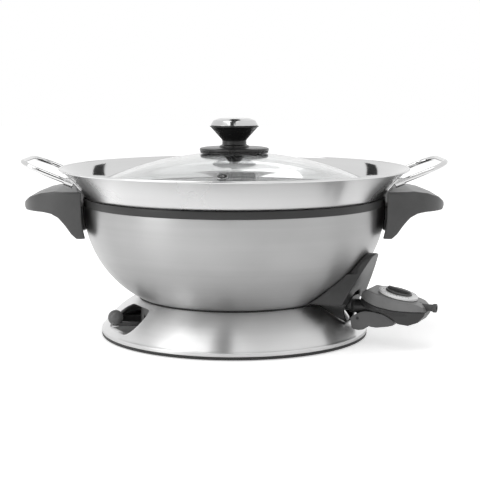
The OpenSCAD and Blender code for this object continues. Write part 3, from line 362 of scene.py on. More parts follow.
def smooth(mesh, angle=TURNED_ANGLE):
    """Smooth shading, with edges left sharp above an angle in degrees."""
    for face in mesh.polygons:
        face.use_smooth = True
    mesh.set_sharp_from_angle(angle=math.radians(angle))


def to_mesh(name, mesh_data):
    """A mesh made from a bmesh, which is then freed."""
    mesh = bpy.data.meshes.new(name)
    mesh_data.to_mesh(mesh)
    mesh_data.free()
    return mesh


def finish_mesh(name, mesh_data, material):
    """Turns a bmesh into an object with outward faces, smooth shading and a material."""
    bmesh.ops.remove_doubles(mesh_data, verts=mesh_data.verts, dist=SAME_PLACE)
    bmesh.ops.recalc_face_normals(mesh_data, faces=mesh_data.faces)
    mesh = to_mesh(name, mesh_data)
    smooth(mesh)
    mesh.materials.append(material)
    return add_object(name, mesh)


def bridge(mesh_data, rows):
    """Joins each ring of vertices to the next by four-sided faces."""
    for row, following in zip(rows, rows[1:]):
        for i in range(len(row)):
            j = (i + 1) % len(row)
            mesh_data.faces.new((row[i], row[j], following[j], following[i]))


def spin_outline(mesh_data, outline, segments, place):
    """Adds a closed outline swept round +Z, turned and moved by place."""
    rings = []
    for radius, height in outline:
        ring = []
        for i in range(segments):
            angle = 2 * math.pi * i / segments
            point = Vector((radius * math.cos(angle), radius * math.sin(angle), height)) * MM
            ring.append(mesh_data.verts.new(place @ point))
        rings.append(ring)
    bridge(mesh_data, rings + rings[:1])


def turned(name, outlines, material, segments=256, place=Matrix.Identity(4)):
    """A piece made of one or more closed outlines swept round an axis."""
    mesh_data = bmesh.new()
    for outline in outlines:
        spin_outline(mesh_data, outline, segments, place)
    bmesh.ops.dissolve_degenerate(mesh_data, dist=TINY_EDGE, edges=mesh_data.edges)
    return finish_mesh(name, mesh_data, material)


def settle(piece, body, slot, *nodes):
    """The piece rides on its body and stands for the engineering nodes, which it hides. The slot is not
    used.
    """
    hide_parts(*nodes)
    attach(piece, body)
    print(f"{piece.name}: {len(piece.data.polygons)} faces")


def offset_path(path, distance):
    """The path moved sideways by a distance, to its left as it runs."""
    moved = []
    for i, point in enumerate(path):
        before = Vector(path[max(i - 1, 0)])
        after = Vector(path[min(i + 1, len(path) - 1)])
        run = (after - before).normalized()
        moved.append(tuple(Vector(point) + Vector((-run.y, run.x)) * distance))
    return moved

# %% [markdown]
# Each piece takes its sizes from the frame: the box of a node gives its outer radius and its heights.

# %% Measure the frame
def box_mm(node):
    low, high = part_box(node)
    return low / MM, high / MM


def evaluated_mesh(holder):
    """The mesh that an object's modifiers, curve or text make."""
    bpy.context.view_layer.update()
    return bpy.data.meshes.new_from_object(holder.evaluated_get(bpy.context.evaluated_depsgraph_get()))


def apply_modifiers(piece):
    """Replaces the piece's mesh by the result of its modifiers."""
    result = evaluated_mesh(piece)
    piece.modifiers.clear()
    piece.data = result


def softened(name, node, material, voxel, passes):
    """A copy of a node with its edges eased: merged, remeshed evenly, then relaxed."""
    mesh_data = bmesh.new()
    mesh_data.from_mesh(frame["nodes"][node].data)
    bmesh.ops.remove_doubles(mesh_data, verts=mesh_data.verts, dist=SAME_PLACE)
    piece = add_object(name, to_mesh(name, mesh_data))
    remesh = piece.modifiers.new("even_mesh", "REMESH")
    remesh.mode = "VOXEL"
    remesh.voxel_size = voxel * MM
    ease = piece.modifiers.new("ease", "SMOOTH")
    ease.factor = 0.5
    ease.iterations = passes
    apply_modifiers(piece)
    smooth(piece.data, MOULDED_ANGLE)
    piece.data.materials.clear()
    piece.data.materials.append(material)
    return piece


skirt_low, skirt_high = box_mm("base_skirt")
SHEET = 1.0
LIP_R = skirt_high.x
LIP_TOP = 9.0
SKIRT_FOOT = (LIP_R - 1, LIP_TOP)
SKIRT_TOP = (117.0, skirt_high.z)
SKIRT_BULGE = 4.0
SKIRT_IN_R = 107.0
print("skirt lip radius and top, mm:", round(LIP_R, 1), round(SKIRT_TOP[1], 1))

# %% [markdown]
# The base skirt is one sheet, drawn into a bell: a rolled lip at the foot, a side that bulges a little
# and a flat rim that carries the pan. The bulge is an arc through the foot and the rim.

# %% Base skirt
def bulged(foot, top, bulge):
    """Centre and radius of the arc from foot to top that stands out by bulge."""
    foot, top = Vector(foot), Vector(top)
    chord = (top - foot).length
    radius = (chord * chord / 4 + bulge * bulge) / (2 * bulge)
    inward = Vector((-(top.y - foot.y), top.x - foot.x)) / chord
    return (foot + top) / 2 + inward * (radius - bulge), radius


SKIRT_CENTRE, SKIRT_ARC_R = bulged(SKIRT_FOOT, SKIRT_TOP, SKIRT_BULGE)


def skirt_r(height, inside=0.0):
    return SKIRT_CENTRE.x + math.sqrt((SKIRT_ARC_R - inside) ** 2 - (height - SKIRT_CENTRE.y) ** 2)


SIDE_STEPS, PAN_STEPS, FLARE_STEPS, DOME_STEPS = 30, 48, 28, 48
SIDE_FOOT, SIDE_RUN = LIP_TOP + 0.8, SKIRT_TOP[1] - LIP_TOP - 2.2
side_heights = [SIDE_FOOT + SIDE_RUN * i / SIDE_STEPS for i in range(SIDE_STEPS + 1)]
skirt_outline = fillet(
    [(LIP_R - 1.6, skirt_low.z, 0.3), (LIP_R, skirt_low.z, 0.9), (LIP_R, LIP_TOP - 0.2, 1.5)]
    + [(skirt_r(z), z) for z in side_heights]
    + [(SKIRT_TOP[0] - 0.6, SKIRT_TOP[1], 1.0), (SKIRT_IN_R, SKIRT_TOP[1], 0.3),
       (SKIRT_IN_R, SKIRT_TOP[1] - SHEET, 0.3), (SKIRT_TOP[0] - 1.8, SKIRT_TOP[1] - SHEET, 0.4)]
    + [(skirt_r(z, SHEET), z) for z in reversed(side_heights)]
    + [(LIP_R - 1.6, LIP_TOP - 0.4, 0.3)])
base_skirt_sheet = turned("base_skirt_sheet", [skirt_outline], base_steel, segments=320)

# %% [markdown]
# A window with round ends is punched through the skirt for the release lever, and its edge is turned
# in so that it doesn't cut a hand. The hole is a Boolean; the turned edge is a ribbon that follows the
# same outline, found by dropping each point of the window onto the curved side.

# %% Lever window and its turned edge
WINDOW_TURN = math.radians(208)
WINDOW_MIDDLE = 28.0
WINDOW_HALF = 33.0
WINDOW_END_R = 13.5
EDGE_DEPTH = 4.5
CUT_DEPTH = 25


def round_ended(half, radius, height, steps):
    """A closed outline with two round ends, each centred at half on its side of the middle."""
    return arc((half, height), radius, -90, 90, steps) + arc((-half, height), radius, 90, 270, steps)


def window_outline(grow):
    """Points (sideways, height) round the window."""
    return round_ended(WINDOW_HALF - WINDOW_END_R, WINDOW_END_R + grow, WINDOW_MIDDLE, 20)


def window_point(sideways, height, depth):
    """A point on the skirt's face in the window's direction, set back by depth."""
    away = math.sqrt(skirt_r(height) ** 2 - sideways ** 2) - depth
    turn = Matrix.Rotation(WINDOW_TURN, 3, "Z")
    return turn @ Vector((away, sideways, height)) * MM


def window_cutter():
    mesh_data = bmesh.new()
    near, far = [
        [mesh_data.verts.new(window_point(x, z, depth)) for x, z in window_outline(0)]
        for depth in (CUT_DEPTH, -CUT_DEPTH)]
    mesh_data.faces.new(near)
    mesh_data.faces.new(far)
    bridge(mesh_data, [near, far])
    return finish_mesh("window_cutter", mesh_data, base_steel)


def add_window_edge(mesh_data):
    """Adds the turned-in edge: a ribbon with a rounded front."""
    rows = [(1.2, 0.0), (0.5, -0.35), (-0.3, -0.25), (-0.6, 0.5), (-0.6, EDGE_DEPTH), (0.2, EDGE_DEPTH),
            (0.2, 1.2), (1.2, 1.0)]
    loops = []
    for grow, depth in rows:
        loops.append([mesh_data.verts.new(window_point(x, z, depth)) for x, z in window_outline(grow)])
    bridge(mesh_data, loops + loops[:1])


cutter = window_cutter()
punch = base_skirt_sheet.modifiers.new("window", "BOOLEAN")
punch.object = cutter
punch.operation = "DIFFERENCE"
punch.solver = "EXACT"
apply_modifiers(base_skirt_sheet)
bpy.data.objects.remove(cutter)
joined = bmesh.new()
joined.from_mesh(base_skirt_sheet.data)
edge_data = bmesh.new()
add_window_edge(edge_data)
bmesh.ops.recalc_face_normals(edge_data, faces=edge_data.faces)
joined.from_mesh(to_mesh("window_edge", edge_data))
joined.to_mesh(base_skirt_sheet.data)
joined.free()
smooth(base_skirt_sheet.data)
settle(base_skirt_sheet, "base", "base_steel", "base_skirt")

# %% [markdown]
# Under the lip sits a black moulded ring, and under that four rubber pads. Between the steel rim and the
# pan a thin black ring keeps the heat away. Its near-black colour is partly painted shade, standing in for
# the shadow in the seam between base and pan.

# %% Foot ring and seat ring
foot_low = box_mm("foot_ring")[0]
FOOT_IN_R, LEDGE_IN_R, LEDGE_OUT_R = 138.0, 153.5, 156.0
foot_outline = fillet([
    (FOOT_IN_R, foot_low.z, 0.8), (LIP_R - 0.1, foot_low.z, 1.0), (LIP_R - 0.1, skirt_low.z - 0.05, 0.5),
    (LEDGE_OUT_R, skirt_low.z - 0.05), (LEDGE_OUT_R, skirt_low.z + 3), (LEDGE_IN_R, skirt_low.z + 3),
    (LEDGE_IN_R, skirt_low.z), (FOOT_IN_R, skirt_low.z, 0.8)])
settle(turned("foot_ring_moulding", [foot_outline], base_black), "base", "base_black", "foot_ring")
seat_low, seat_high = box_mm("seat_ring")
SEAT_IN_R = 106.0
seat_outline = fillet([
    (SEAT_IN_R, seat_low.z, 0.2), (seat_high.x, seat_low.z, 0.3), (seat_high.x, seat_high.z, 0.5),
    (SEAT_IN_R, seat_high.z, 0.4)])
settle(turned("seat_ring_moulding", [seat_outline], seat_black), "base", "seat_black", "seat_ring")

# %% [markdown]
# The pan is spun from one sheet. Its side is a single arc that turns upright near the top, and its foot
# rounds under to the flat that stands on the base. A dark satin band is rolled round the top.

# %% Pan shell and its band
pan_low, pan_high = box_mm("pan_shell")
PAN_R = pan_high.x
SIDE_ARC_R = 122.0
SIDE_CENTRE = (PAN_R - SIDE_ARC_R, 155.0)
FOOT_HOLE_R = 107.5


def side_r(height, inside=0.0):
    drop = min(height - SIDE_CENTRE[1], 0)
    return SIDE_CENTRE[0] + math.sqrt((SIDE_ARC_R - inside) ** 2 - drop ** 2)


CLOSER_LOW = 1.15
pan_heights = [
    pan_low.z + (SIDE_CENTRE[1] - pan_low.z) * (i / PAN_STEPS) ** CLOSER_LOW
    for i in range(1, PAN_STEPS + 1)]
pan_outline = fillet(
    [(FOOT_HOLE_R, pan_low.z, 0.3), (side_r(pan_low.z) - 0.2, pan_low.z, 1.2)]
    + [(side_r(z), z) for z in pan_heights]
    + [(PAN_R, pan_high.z, 0.3), (PAN_R - SHEET, pan_high.z, 0.3)]
    + [(side_r(z, SHEET), z) for z in reversed(pan_heights) if z > pan_low.z + 1.5]
    + [(side_r(pan_low.z + SHEET, SHEET) - 0.5, pan_low.z + SHEET, 0.5),
       (FOOT_HOLE_R, pan_low.z + SHEET, 0.3)])
settle(turned("pan_shell_spun", [pan_outline], pan_steel, segments=320), "pan", "pan_steel", "pan_shell")
band_low, band_high = box_mm("trim_band")
BAND_IN_R = PAN_R - 1.25
band_outline = fillet([
    (BAND_IN_R, band_low.z, 0.2), (band_high.x, band_low.z, 0.7), (band_high.x, band_high.z, 1.2),
    (BAND_IN_R, band_high.z, 0.6)])
settle(turned("trim_band_rolled", [band_outline], band_dark, segments=320), "pan", "band_dark", "trim_band")

# %% [markdown]
# The steamer insert is one thin sheet: a floor with holes, a tapered neck that hangs in the pan, a
# shoulder that rests on the rim, and a flare whose side is hollow, ending in a rolled bead. It is drawn
# as one open path, and the sheet's thickness comes from the same path moved sideways. The flare is
# brushed outside and polished inside.

# %% Steamer body
steamer_low, steamer_high = box_mm("steamer_bowl")
BEAD_R = 1.5
FLARE_LIP = Vector((steamer_high.x - BEAD_R, steamer_high.z - BEAD_R))
SHOULDER_Z = band_high.z + 0.06
FLARE_FOOT = Vector((PAN_R - 2.2, SHOULDER_Z))
FLARE_ARC_R = 123.0
NECK_R = PAN_R - 9.5
KNEE_Z = SHOULDER_Z - 16.5
FLOOR_R = NECK_R - 21
PLATE_R = FLOOR_R - 12
FLOOR_Z = steamer_low.z


def flare_centre():
    run = FLARE_LIP - FLARE_FOOT
    half = run.length / 2
    away = Vector((run.y, -run.x)).normalized()
    return (FLARE_FOOT + FLARE_LIP) / 2 + away * math.sqrt(FLARE_ARC_R ** 2 - half ** 2)


FLARE_CENTRE = flare_centre()


def flare_r(height):
    return FLARE_CENTRE.x - math.sqrt(FLARE_ARC_R ** 2 - (height - FLARE_CENTRE.y) ** 2)


FLARE_START = 1.6
flare_heights = [
    SHOULDER_Z + FLARE_START + (FLARE_LIP.y - SHOULDER_Z - FLARE_START) * i / FLARE_STEPS
    for i in range(FLARE_STEPS + 1)]
steamer_outside = (
    [(PLATE_R - 1, FLOOR_Z), (FLOOR_R - 2, FLOOR_Z), (FLOOR_R - 0.6, FLOOR_Z + 0.6),
     (FLOOR_R, FLOOR_Z + 2), (NECK_R - 0.2, KNEE_Z - 1), (NECK_R, KNEE_Z + 1),
     (NECK_R, SHOULDER_Z - 1), (NECK_R + 1, SHOULDER_Z), (FLARE_FOOT.x - 1.4, SHOULDER_Z),
     (FLARE_FOOT.x - 0.2, SHOULDER_Z + 0.4)]
    + [(flare_r(z), z) for z in flare_heights])
steamer_inside = offset_path(steamer_outside, SHEET)
bead = arc((FLARE_LIP.x, FLARE_LIP.y), BEAD_R, 0, 350, 20)
steamer_spun = turned(
    "steamer_spun", [steamer_outside + steamer_inside[::-1], bead], steamer_steel, segments=320)
steamer_spun.data.materials.append(steamer_polished)
for face in steamer_spun.data.polygons:
    inward = face.normal.x * face.center.x + face.normal.y * face.center.y < 0
    face.material_index = 1 if inward and face.center.z > SHOULDER_Z * MM else 0

# %% [markdown]
# The floor's steam holes repeat on six rings, so Geometry Nodes makes them. The tree draws the plate's
# edge and every hole as flat curves, fills the area between them in one step, then gives it thickness.
# No Boolean is needed, because the fill already leaves the holes open.

# %% Steam holes with Geometry Nodes
HOLE_RINGS = [(24, 6), (44, 11), (64, 16), (84, 21), (104, 26), (124, 31)]
HOLE_D = 7.0


def new_geometry_tree(name, sizes):
    """A geometry tree with named sizes in metres, and its two end nodes."""
    tree = bpy.data.node_groups.new(name, "GeometryNodeTree")
    tree.interface.new_socket("Geometry", in_out="OUTPUT", socket_type="NodeSocketGeometry")
    add_sockets(tree, sizes)
    return tree, tree.nodes.new("NodeGroupInput"), tree.nodes.new("NodeGroupOutput")


def make_plate_tree(material):
    tree, start, end = new_geometry_tree(
        "holed_plate", {"Plate Radius": 0.138, "Hole Radius": 0.0035, "Thickness": SHEET * MM})
    sizes = start.outputs
    edge = add_node(
        tree, "GeometryNodeCurvePrimitiveCircle", Resolution=192, Radius=sizes["Plate Radius"])
    hole = add_node(
        tree, "GeometryNodeCurvePrimitiveCircle", Resolution=24, Radius=sizes["Hole Radius"])
    everything = tree.nodes.new("GeometryNodeJoinGeometry")
    tree.links.new(edge.outputs[0], everything.inputs[0])
    for radius, count in HOLE_RINGS:
        ring = add_node(tree, "GeometryNodeMeshCircle", Vertices=count, Radius=radius * MM)
        holes = add_node(
            tree, "GeometryNodeInstanceOnPoints", Points=ring.outputs[0], Instance=hole.outputs[0])
        tree.links.new(holes.outputs[0], everything.inputs[0])
    real = add_node(tree, "GeometryNodeRealizeInstances", Geometry=everything.outputs[0])
    flat = add_node(tree, "GeometryNodeFillCurve", Curve=real.outputs[0])
    thick = add_node(
        tree, "GeometryNodeExtrudeMesh", Mesh=flat.outputs[0], Offset_Scale=sizes["Thickness"])
    thick.inputs["Individual"].default_value = False
    both = tree.nodes.new("GeometryNodeJoinGeometry")
    back = add_node(tree, "GeometryNodeFlipFaces", Mesh=flat.outputs[0])
    tree.links.new(back.outputs[0], both.inputs[0])
    tree.links.new(thick.outputs["Mesh"], both.inputs[0])
    merged = add_node(tree, "GeometryNodeMergeByDistance", Geometry=both.outputs[0], Distance=SAME_PLACE)
    painted = add_node(tree, "GeometryNodeSetMaterial", Geometry=merged.outputs[0], Material=material)
    tree.links.new(painted.outputs[0], end.inputs[0])
    return tree


def nodes_piece(name, tree, values, place):
    """The mesh that a geometry tree makes with these inputs, as a plain object."""
    piece = add_object(name, bpy.data.meshes.new(name))
    modifier = piece.modifiers.new(name, "NODES")
    modifier.node_group = tree
    for item in tree.interface.items_tree:
        if item.name in values:
            modifier[item.identifier] = values[item.name]
    apply_modifiers(piece)
    piece.data.transform(place)
    return piece


holed_plate = nodes_piece(
    "holed_plate", make_plate_tree(steamer_steel),
    {"Plate Radius": PLATE_R * MM, "Hole Radius": HOLE_D / 2 * MM, "Thickness": SHEET * MM},
    Matrix.Translation((0, 0, FLOOR_Z * MM)))
settle(steamer_spun, "steamer", "steamer_steel", "steamer_bowl")
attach(holed_plate, "steamer")
print("steam holes:", sum(count for radius, count in HOLE_RINGS))

# %% [markdown]
# The lid is a shallow dome of toughened glass, ground round at its edge and folded into a thin steel
# band. The dome is two arcs with one centre, four millimetres apart.

# %% Glass dome and its steel band
lid_high = box_mm("lid_glass")[1]
LID_R = lid_high.x
GLASS_T = 4.0
DOME_R = 400.0
DOME_CENTRE = lid_high.z + 0.02 - DOME_R
KNOB_BORE_R = 4.0


def dome_z(radius, inside=0.0):
    return DOME_CENTRE + math.sqrt((DOME_R - inside) ** 2 - radius ** 2)


dome_radii = [KNOB_BORE_R + (LID_R - KNOB_BORE_R) * i / DOME_STEPS for i in range(DOME_STEPS + 1)]
dome_outline = fillet(
    [(KNOB_BORE_R, dome_z(KNOB_BORE_R))]
    + [(r, dome_z(r)) for r in dome_radii[1:-1]]
    + [(LID_R, dome_z(LID_R), 1.4), (LID_R, dome_z(LID_R, GLASS_T), 1.4)]
    + [(r, dome_z(r, GLASS_T)) for r in reversed(dome_radii[1:-1])]
    + [(KNOB_BORE_R, dome_z(KNOB_BORE_R, GLASS_T))])
settle(turned("lid_glass_dome", [dome_outline], lid_clear, segments=320), "lid", "lid_glass", "lid_glass")
rim_low, rim_high = box_mm("lid_rim")
RIM_IN_R = LID_R - 4
RIM_GAP = 0.1
rim_outline = fillet([
    (RIM_IN_R, rim_low.z, 0.8), (rim_high.x, rim_low.z, 1.4), (rim_high.x, rim_high.z, 1.4),
    (RIM_IN_R, rim_high.z, 0.5), (RIM_IN_R, dome_z(RIM_IN_R) + RIM_GAP, 0.1),
    (LID_R + RIM_GAP, dome_z(LID_R) + RIM_GAP, 0.2),
    (LID_R + RIM_GAP, dome_z(LID_R, GLASS_T) - RIM_GAP, 0.2),
    (RIM_IN_R, dome_z(RIM_IN_R, GLASS_T) - RIM_GAP, 0.1)])
settle(turned("lid_rim_folded", [rim_outline], rim_steel, segments=320), "lid", "rim_steel", "lid_rim")

# %% [markdown]
# The knob stands on a wide black guard of two layers with a groove between them. The body narrows to a
# waist, flares to the grip, and is closed by a polished cap with a small flat on top.

# %% Guard, knob and cap
guard_low, guard_high = box_mm("heat_guard")
knob_low, knob_high = box_mm("knob_body")
cap_low, cap_high = box_mm("knob_cap")
GUARD_R = guard_high.x
WAIST_R = 14.5
GUARD_BORE_R, KNOB_SCREW_R, AXIS_R = 12.1, 2.4, 0.001
knob_base_z = knob_low.z
GUARD_FOOT = guard_low.z + 0.9
GUARD_GROOVE = GUARD_FOOT + 2.0
guard_outline = fillet([
    (GUARD_BORE_R, dome_z(GUARD_BORE_R) + 0.06), (26.0, dome_z(26.0) + 0.06, 2.0),
    (GUARD_R - 4.0, GUARD_FOOT, 2.0), (GUARD_R - 0.6, GUARD_FOOT + 0.1, 0.7),
    (GUARD_R - 0.6, GUARD_GROOVE, 0.4), (GUARD_R - 2.0, GUARD_GROOVE + 0.1, 0.2),
    (GUARD_R - 2.0, GUARD_GROOVE + 0.5, 0.2),
    (GUARD_R, GUARD_GROOVE + 0.6, 0.6), (GUARD_R, knob_base_z - 1.3, 1.3),
    (GUARD_R - 5, knob_base_z - 0.3, 2.0), (22.0, knob_base_z - 0.05, 2.0),
    (GUARD_BORE_R, knob_base_z - 0.05)])
guard_disc = turned("heat_guard_disc", [guard_outline], knob_black, segments=192)
settle(guard_disc, "lid", "knob_black", "heat_guard")
knob_outline = fillet([
    (KNOB_SCREW_R, knob_base_z), (WAIST_R + 3.6, knob_base_z, 0.3), (WAIST_R + 3.0, knob_base_z + 1.6, 0.8),
    (WAIST_R, knob_base_z + 3.0, 2.0), (WAIST_R, knob_base_z + 8.5, 4.5),
    (knob_high.x - 1.6, knob_high.z - 1.8, 2.0), (knob_high.x, knob_high.z - 0.9, 0.5),
    (knob_high.x - 0.5, knob_high.z, 0.4), (KNOB_SCREW_R, knob_high.z)], steps=8)
settle(turned("knob_grip", [knob_outline], knob_black, segments=192), "lid", "knob_black", "knob_body")
CAP_R = cap_high.x
cap_outline = fillet([
    (AXIS_R, cap_low.z), (CAP_R, cap_low.z, 0.4), (CAP_R + 0.9, cap_low.z + 0.9, 0.6),
    (CAP_R - 2.2, cap_high.z - 2.6, 3.5), (CAP_R - 9.5, cap_high.z - 0.1, 7.0),
    (AXIS_R, cap_high.z)], steps=12)
settle(turned("knob_cap_polished", [cap_outline], cap_steel, segments=192), "lid", "cap_steel", "knob_cap")

# %% [markdown]
# Moulded handles and covers have no sharp edges, because resin flows badly into corners. Their exact
# solids are remeshed evenly and then relaxed, which eases every edge by about a millimetre. The
# shroud's foot is glossy black.

# %% Side handles, shroud and control probe
def mould(rows):
    """Eases a list of nodes: piece, node, material, evenness, passes, body and slot of each."""
    for name, node, material, voxel, passes, body, slot in rows:
        settle(softened(name, node, material, voxel, passes), body, slot, node)


mould([
    (f"{side}_handle_moulding", f"{side}_handle", handle_dark, 1.0, 9, "pan", "handle_dark")
    for side in ("left", "right")])
SHROUD_FOOT_Z = 47
shroud = softened("socket_shroud_moulding", "socket_shroud", shroud_dark, 0.9, 4)
shroud.data.materials.append(shroud_black)
for face in shroud.data.polygons:
    face.material_index = 1 if face.center.z < SHROUD_FOOT_Z * MM else 0
settle(shroud, "pan", "shroud_dark", "socket_shroud")
mould([
    ("probe_lid_moulding", "probe_top_shell", probe_grey, 0.6, 9, "probe", "probe_grey"),
    ("probe_tray_moulding", "probe_bottom_shell", probe_dark, 0.6, 9, "probe", "probe_dark"),
    ("probe_nose_moulding", "probe_nose", probe_dark, 0.5, 5, "probe", "probe_dark"),
    ("trigger_moulding", "release_trigger", trigger_grey, 0.5, 8, "trigger", "trigger_grey"),
    ("gland_moulding", "cord_gland", gland_grey, 0.4, 4, "probe", "gland_grey"),
])

# %% [markdown]
# Round rods, the ball and the small pads behind the rods get the same treatment with a finer mesh, so
# their highlights run without facets.

# %% Loops, brackets, lever and ball
mould([
    (f"{side}_loop_rod", f"{side}_loop", loop_steel, 0.5, 4, "steamer", "loop_steel")
    for side in ("left", "right")])
mould([
    ("loop_bracket_pads", "loop_brackets", steamer_steel, 0.4, 3, "steamer", "steamer_steel"),
    ("lever_blade", "release_lever", lever_black, 0.6, 4, "lever", "lever_black"),
    ("lever_ball", "ball_knob", ball_grey, 0.35, 5, "lever", "ball_grey"),
    ("lever_stem", "knob_stem", stem_white, 0.3, 3, "lever", "stem_white"),
    ("lever_pocket", "lever_recess", recess_grey, 0.8, 4, "base", "recess_grey"),
    ("vent_eyelet", "vent_grommet", rim_steel, 0.25, 3, "lid", "rim_steel"),
])

# %% [markdown]
# The dial sits on the sloping face of the probe, so its pieces are turned about their own axis and then
# placed: turned to the socket's direction, moved out along it, and tipped by the slope of the face.

# %% Dial: scale ring and knob
SOCKET_TURN = Matrix.Rotation(math.radians(-25), 4, "Z")


def on_probe(outwards, height, tip):
    """Place at a distance along the socket's direction and a height, tipped about the cross axis."""
    move = Matrix.Translation(Vector((outwards, 0, height)) * MM)
    return SOCKET_TURN @ move @ Matrix.Rotation(math.radians(tip), 4, "Y")


DIAL_PLACE = on_probe(207.5, 60.128, 13)
SCALE_R = 23.0
SCALE_FOOT, SCALE_TOP = 0.62, 3.8
SPINDLE_R = 3.1
DIAL_KNOB_R = 15.4
scale_outline = fillet([
    (SPINDLE_R, SCALE_FOOT), (SCALE_R - 0.1, SCALE_FOOT, 0.4), (SCALE_R - 0.1, SCALE_TOP - 0.7, 0.6),
    (SCALE_R - 0.9, SCALE_TOP, 0.5), (DIAL_KNOB_R + 0.5, SCALE_TOP, 0.2),
    (DIAL_KNOB_R + 0.2, SCALE_TOP - 0.3, 0.1), (SPINDLE_R, SCALE_TOP - 0.3)])
dial_scale_ring = turned("dial_scale_ring", [scale_outline], scale_white, segments=144, place=DIAL_PLACE)
settle(dial_scale_ring, "dial", "scale_white", "dial_scale")


def rounded_bar(mesh_data, length, width, low, high, place):
    """Adds a bar with round ends, narrower at its top."""
    rows = []
    shoulder = low + 0.6 * (high - low)
    for share, height in ((1.0, low), (1.0, shoulder), (0.9, high - 0.3), (0.72, high)):
        outline = round_ended(length / 2 - width / 2, width / 2 * share, 0, 12)
        rows.append([mesh_data.verts.new(place @ (Vector((x, y, height)) * MM)) for x, y in outline])
    bridge(mesh_data, rows)
    mesh_data.faces.new(rows[0][::-1])
    mesh_data.faces.new(rows[-1])


knob_data = bmesh.new()
DISC_TOP, DISC_RIM_TOP = 5.0, 5.7
disc_outline = fillet([
    (SPINDLE_R, SCALE_TOP + 0.08), (DIAL_KNOB_R, SCALE_TOP + 0.08, 0.3), (DIAL_KNOB_R, DISC_TOP, 0.5),
    (DIAL_KNOB_R - 1.0, DISC_RIM_TOP, 0.5), (DIAL_KNOB_R - 3.4, DISC_RIM_TOP, 0.4),
    (DIAL_KNOB_R - 4.2, DISC_TOP, 0.5), (AXIS_R, DISC_TOP), (AXIS_R, SCALE_TOP + 0.9),
    (SPINDLE_R, SCALE_TOP + 0.9)])
spin_outline(knob_data, disc_outline, 144, DIAL_PLACE)
rounded_bar(
    knob_data, length=2 * DIAL_KNOB_R - 3, width=6, low=4.4, high=7.8, place=DIAL_PLACE)
settle(finish_mesh("dial_grip", knob_data, dial_dark), "dial", "dial_dark", "dial_knob")

# %% [markdown]
# The scale's marks repeat round the ring, so a geometry tree puts one small bar on every point of an
# arc and turns each bar to point outwards. The plain figures beside them are text, made into a mesh.

# %% Dial marks with Geometry Nodes
DIAL_SWEEP, DIAL_START = 280, 40
FINE_COUNT, FIGURE_COUNT = 29, 8
FINE_R, LONG_R, FIGURE_R = 21.0 * MM, 20.8 * MM, 17.9 * MM


def make_marks_tree(material):
    tree, start, end = new_geometry_tree("marks_on_arc", {
        "Radius": FINE_R, "Sweep": math.radians(DIAL_SWEEP), "Length": 1.6 * MM, "Width": 0.4 * MM,
        "Height": 0.2 * MM})
    add_sockets(tree, {"Count": FINE_COUNT}, "NodeSocketInt")
    sizes = start.outputs
    line = add_node(tree, "GeometryNodeCurveArc", Resolution=sizes["Count"], Radius=sizes["Radius"],
                    Sweep_Angle=sizes["Sweep"])
    size = add_node(
        tree, "ShaderNodeCombineXYZ", X=sizes["Length"], Y=sizes["Width"], Z=sizes["Height"])
    bar = add_node(tree, "GeometryNodeMeshCube", Size=size.outputs[0])
    place = tree.nodes.new("GeometryNodeInputPosition")
    outward = add_node(tree, "FunctionNodeAlignRotationToVector", {"axis": "X"}, Vector=place.outputs[0])
    marks = add_node(tree, "GeometryNodeInstanceOnPoints", Points=line.outputs[0], Instance=bar.outputs[0],
                     Rotation=outward.outputs[0])
    real = add_node(tree, "GeometryNodeRealizeInstances", Geometry=marks.outputs[0])
    painted = add_node(tree, "GeometryNodeSetMaterial", Geometry=real.outputs[0], Material=material)
    tree.links.new(painted.outputs[0], end.inputs[0])
    return tree


def ride_along(piece, body):
    """An extra piece that stands for no engineering node."""
    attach(piece, body)


marks_tree = make_marks_tree(print_grey)
SCALE_PLACE = DIAL_PLACE @ Matrix.Translation((0, 0, SCALE_TOP * MM))
MARKS_PLACE = SCALE_PLACE @ Matrix.Rotation(math.radians(DIAL_START), 4, "Z")
MARKS = {
    "dial_marks_fine": {"Count": FINE_COUNT, "Radius": FINE_R},
    "dial_marks_long": {"Count": FIGURE_COUNT, "Radius": LONG_R, "Length": 2.4 * MM, "Width": 0.7 * MM}}
for marks_name, marks_sizes in MARKS.items():
    marks = nodes_piece(marks_name, marks_tree, marks_sizes, MARKS_PLACE)
    ride_along(marks, "dial")


def curve_mesh(curve, material):
    """The mesh of a curve or a text, in one material."""
    holder = add_object(curve.name, curve)
    mesh = evaluated_mesh(holder)
    bpy.data.objects.remove(holder)
    mesh.materials.clear()
    mesh.materials.append(material)
    return mesh


def figure_on_dial(number, angle):
    """One figure, laid on the scale ring and read from outside."""
    text = bpy.data.curves.new(f"figure_{number}", "FONT")
    text.body = str(number)
    text.size = 3.0 * MM
    text.extrude = 0.06 * MM
    text.align_x = "CENTER"
    text.align_y = "CENTER"
    mesh = curve_mesh(text, print_grey)
    spin = Matrix.Rotation(math.radians(angle), 4, "Z") @ Matrix.Translation((FIGURE_R, 0, 0))
    mesh.transform(SCALE_PLACE @ spin @ Matrix.Rotation(math.radians(90), 4, "Z"))
    return mesh


figures = bmesh.new()
for number in range(FIGURE_COUNT):
    figures.from_mesh(figure_on_dial(number, DIAL_START + number * DIAL_SWEEP / (FIGURE_COUNT - 1)))
figure_mesh = to_mesh("dial_figures", figures)
figure_mesh.materials.append(print_grey)
ride_along(add_object("dial_figures", figure_mesh), "dial")
print("dial figures:", len(figure_mesh.polygons), "faces")

# %% [markdown]
# The lamp shows through an amber lens at the front of the probe, held by a bright ring. Along both
# sides of the probe three fine ribs follow the parting line below the lid.

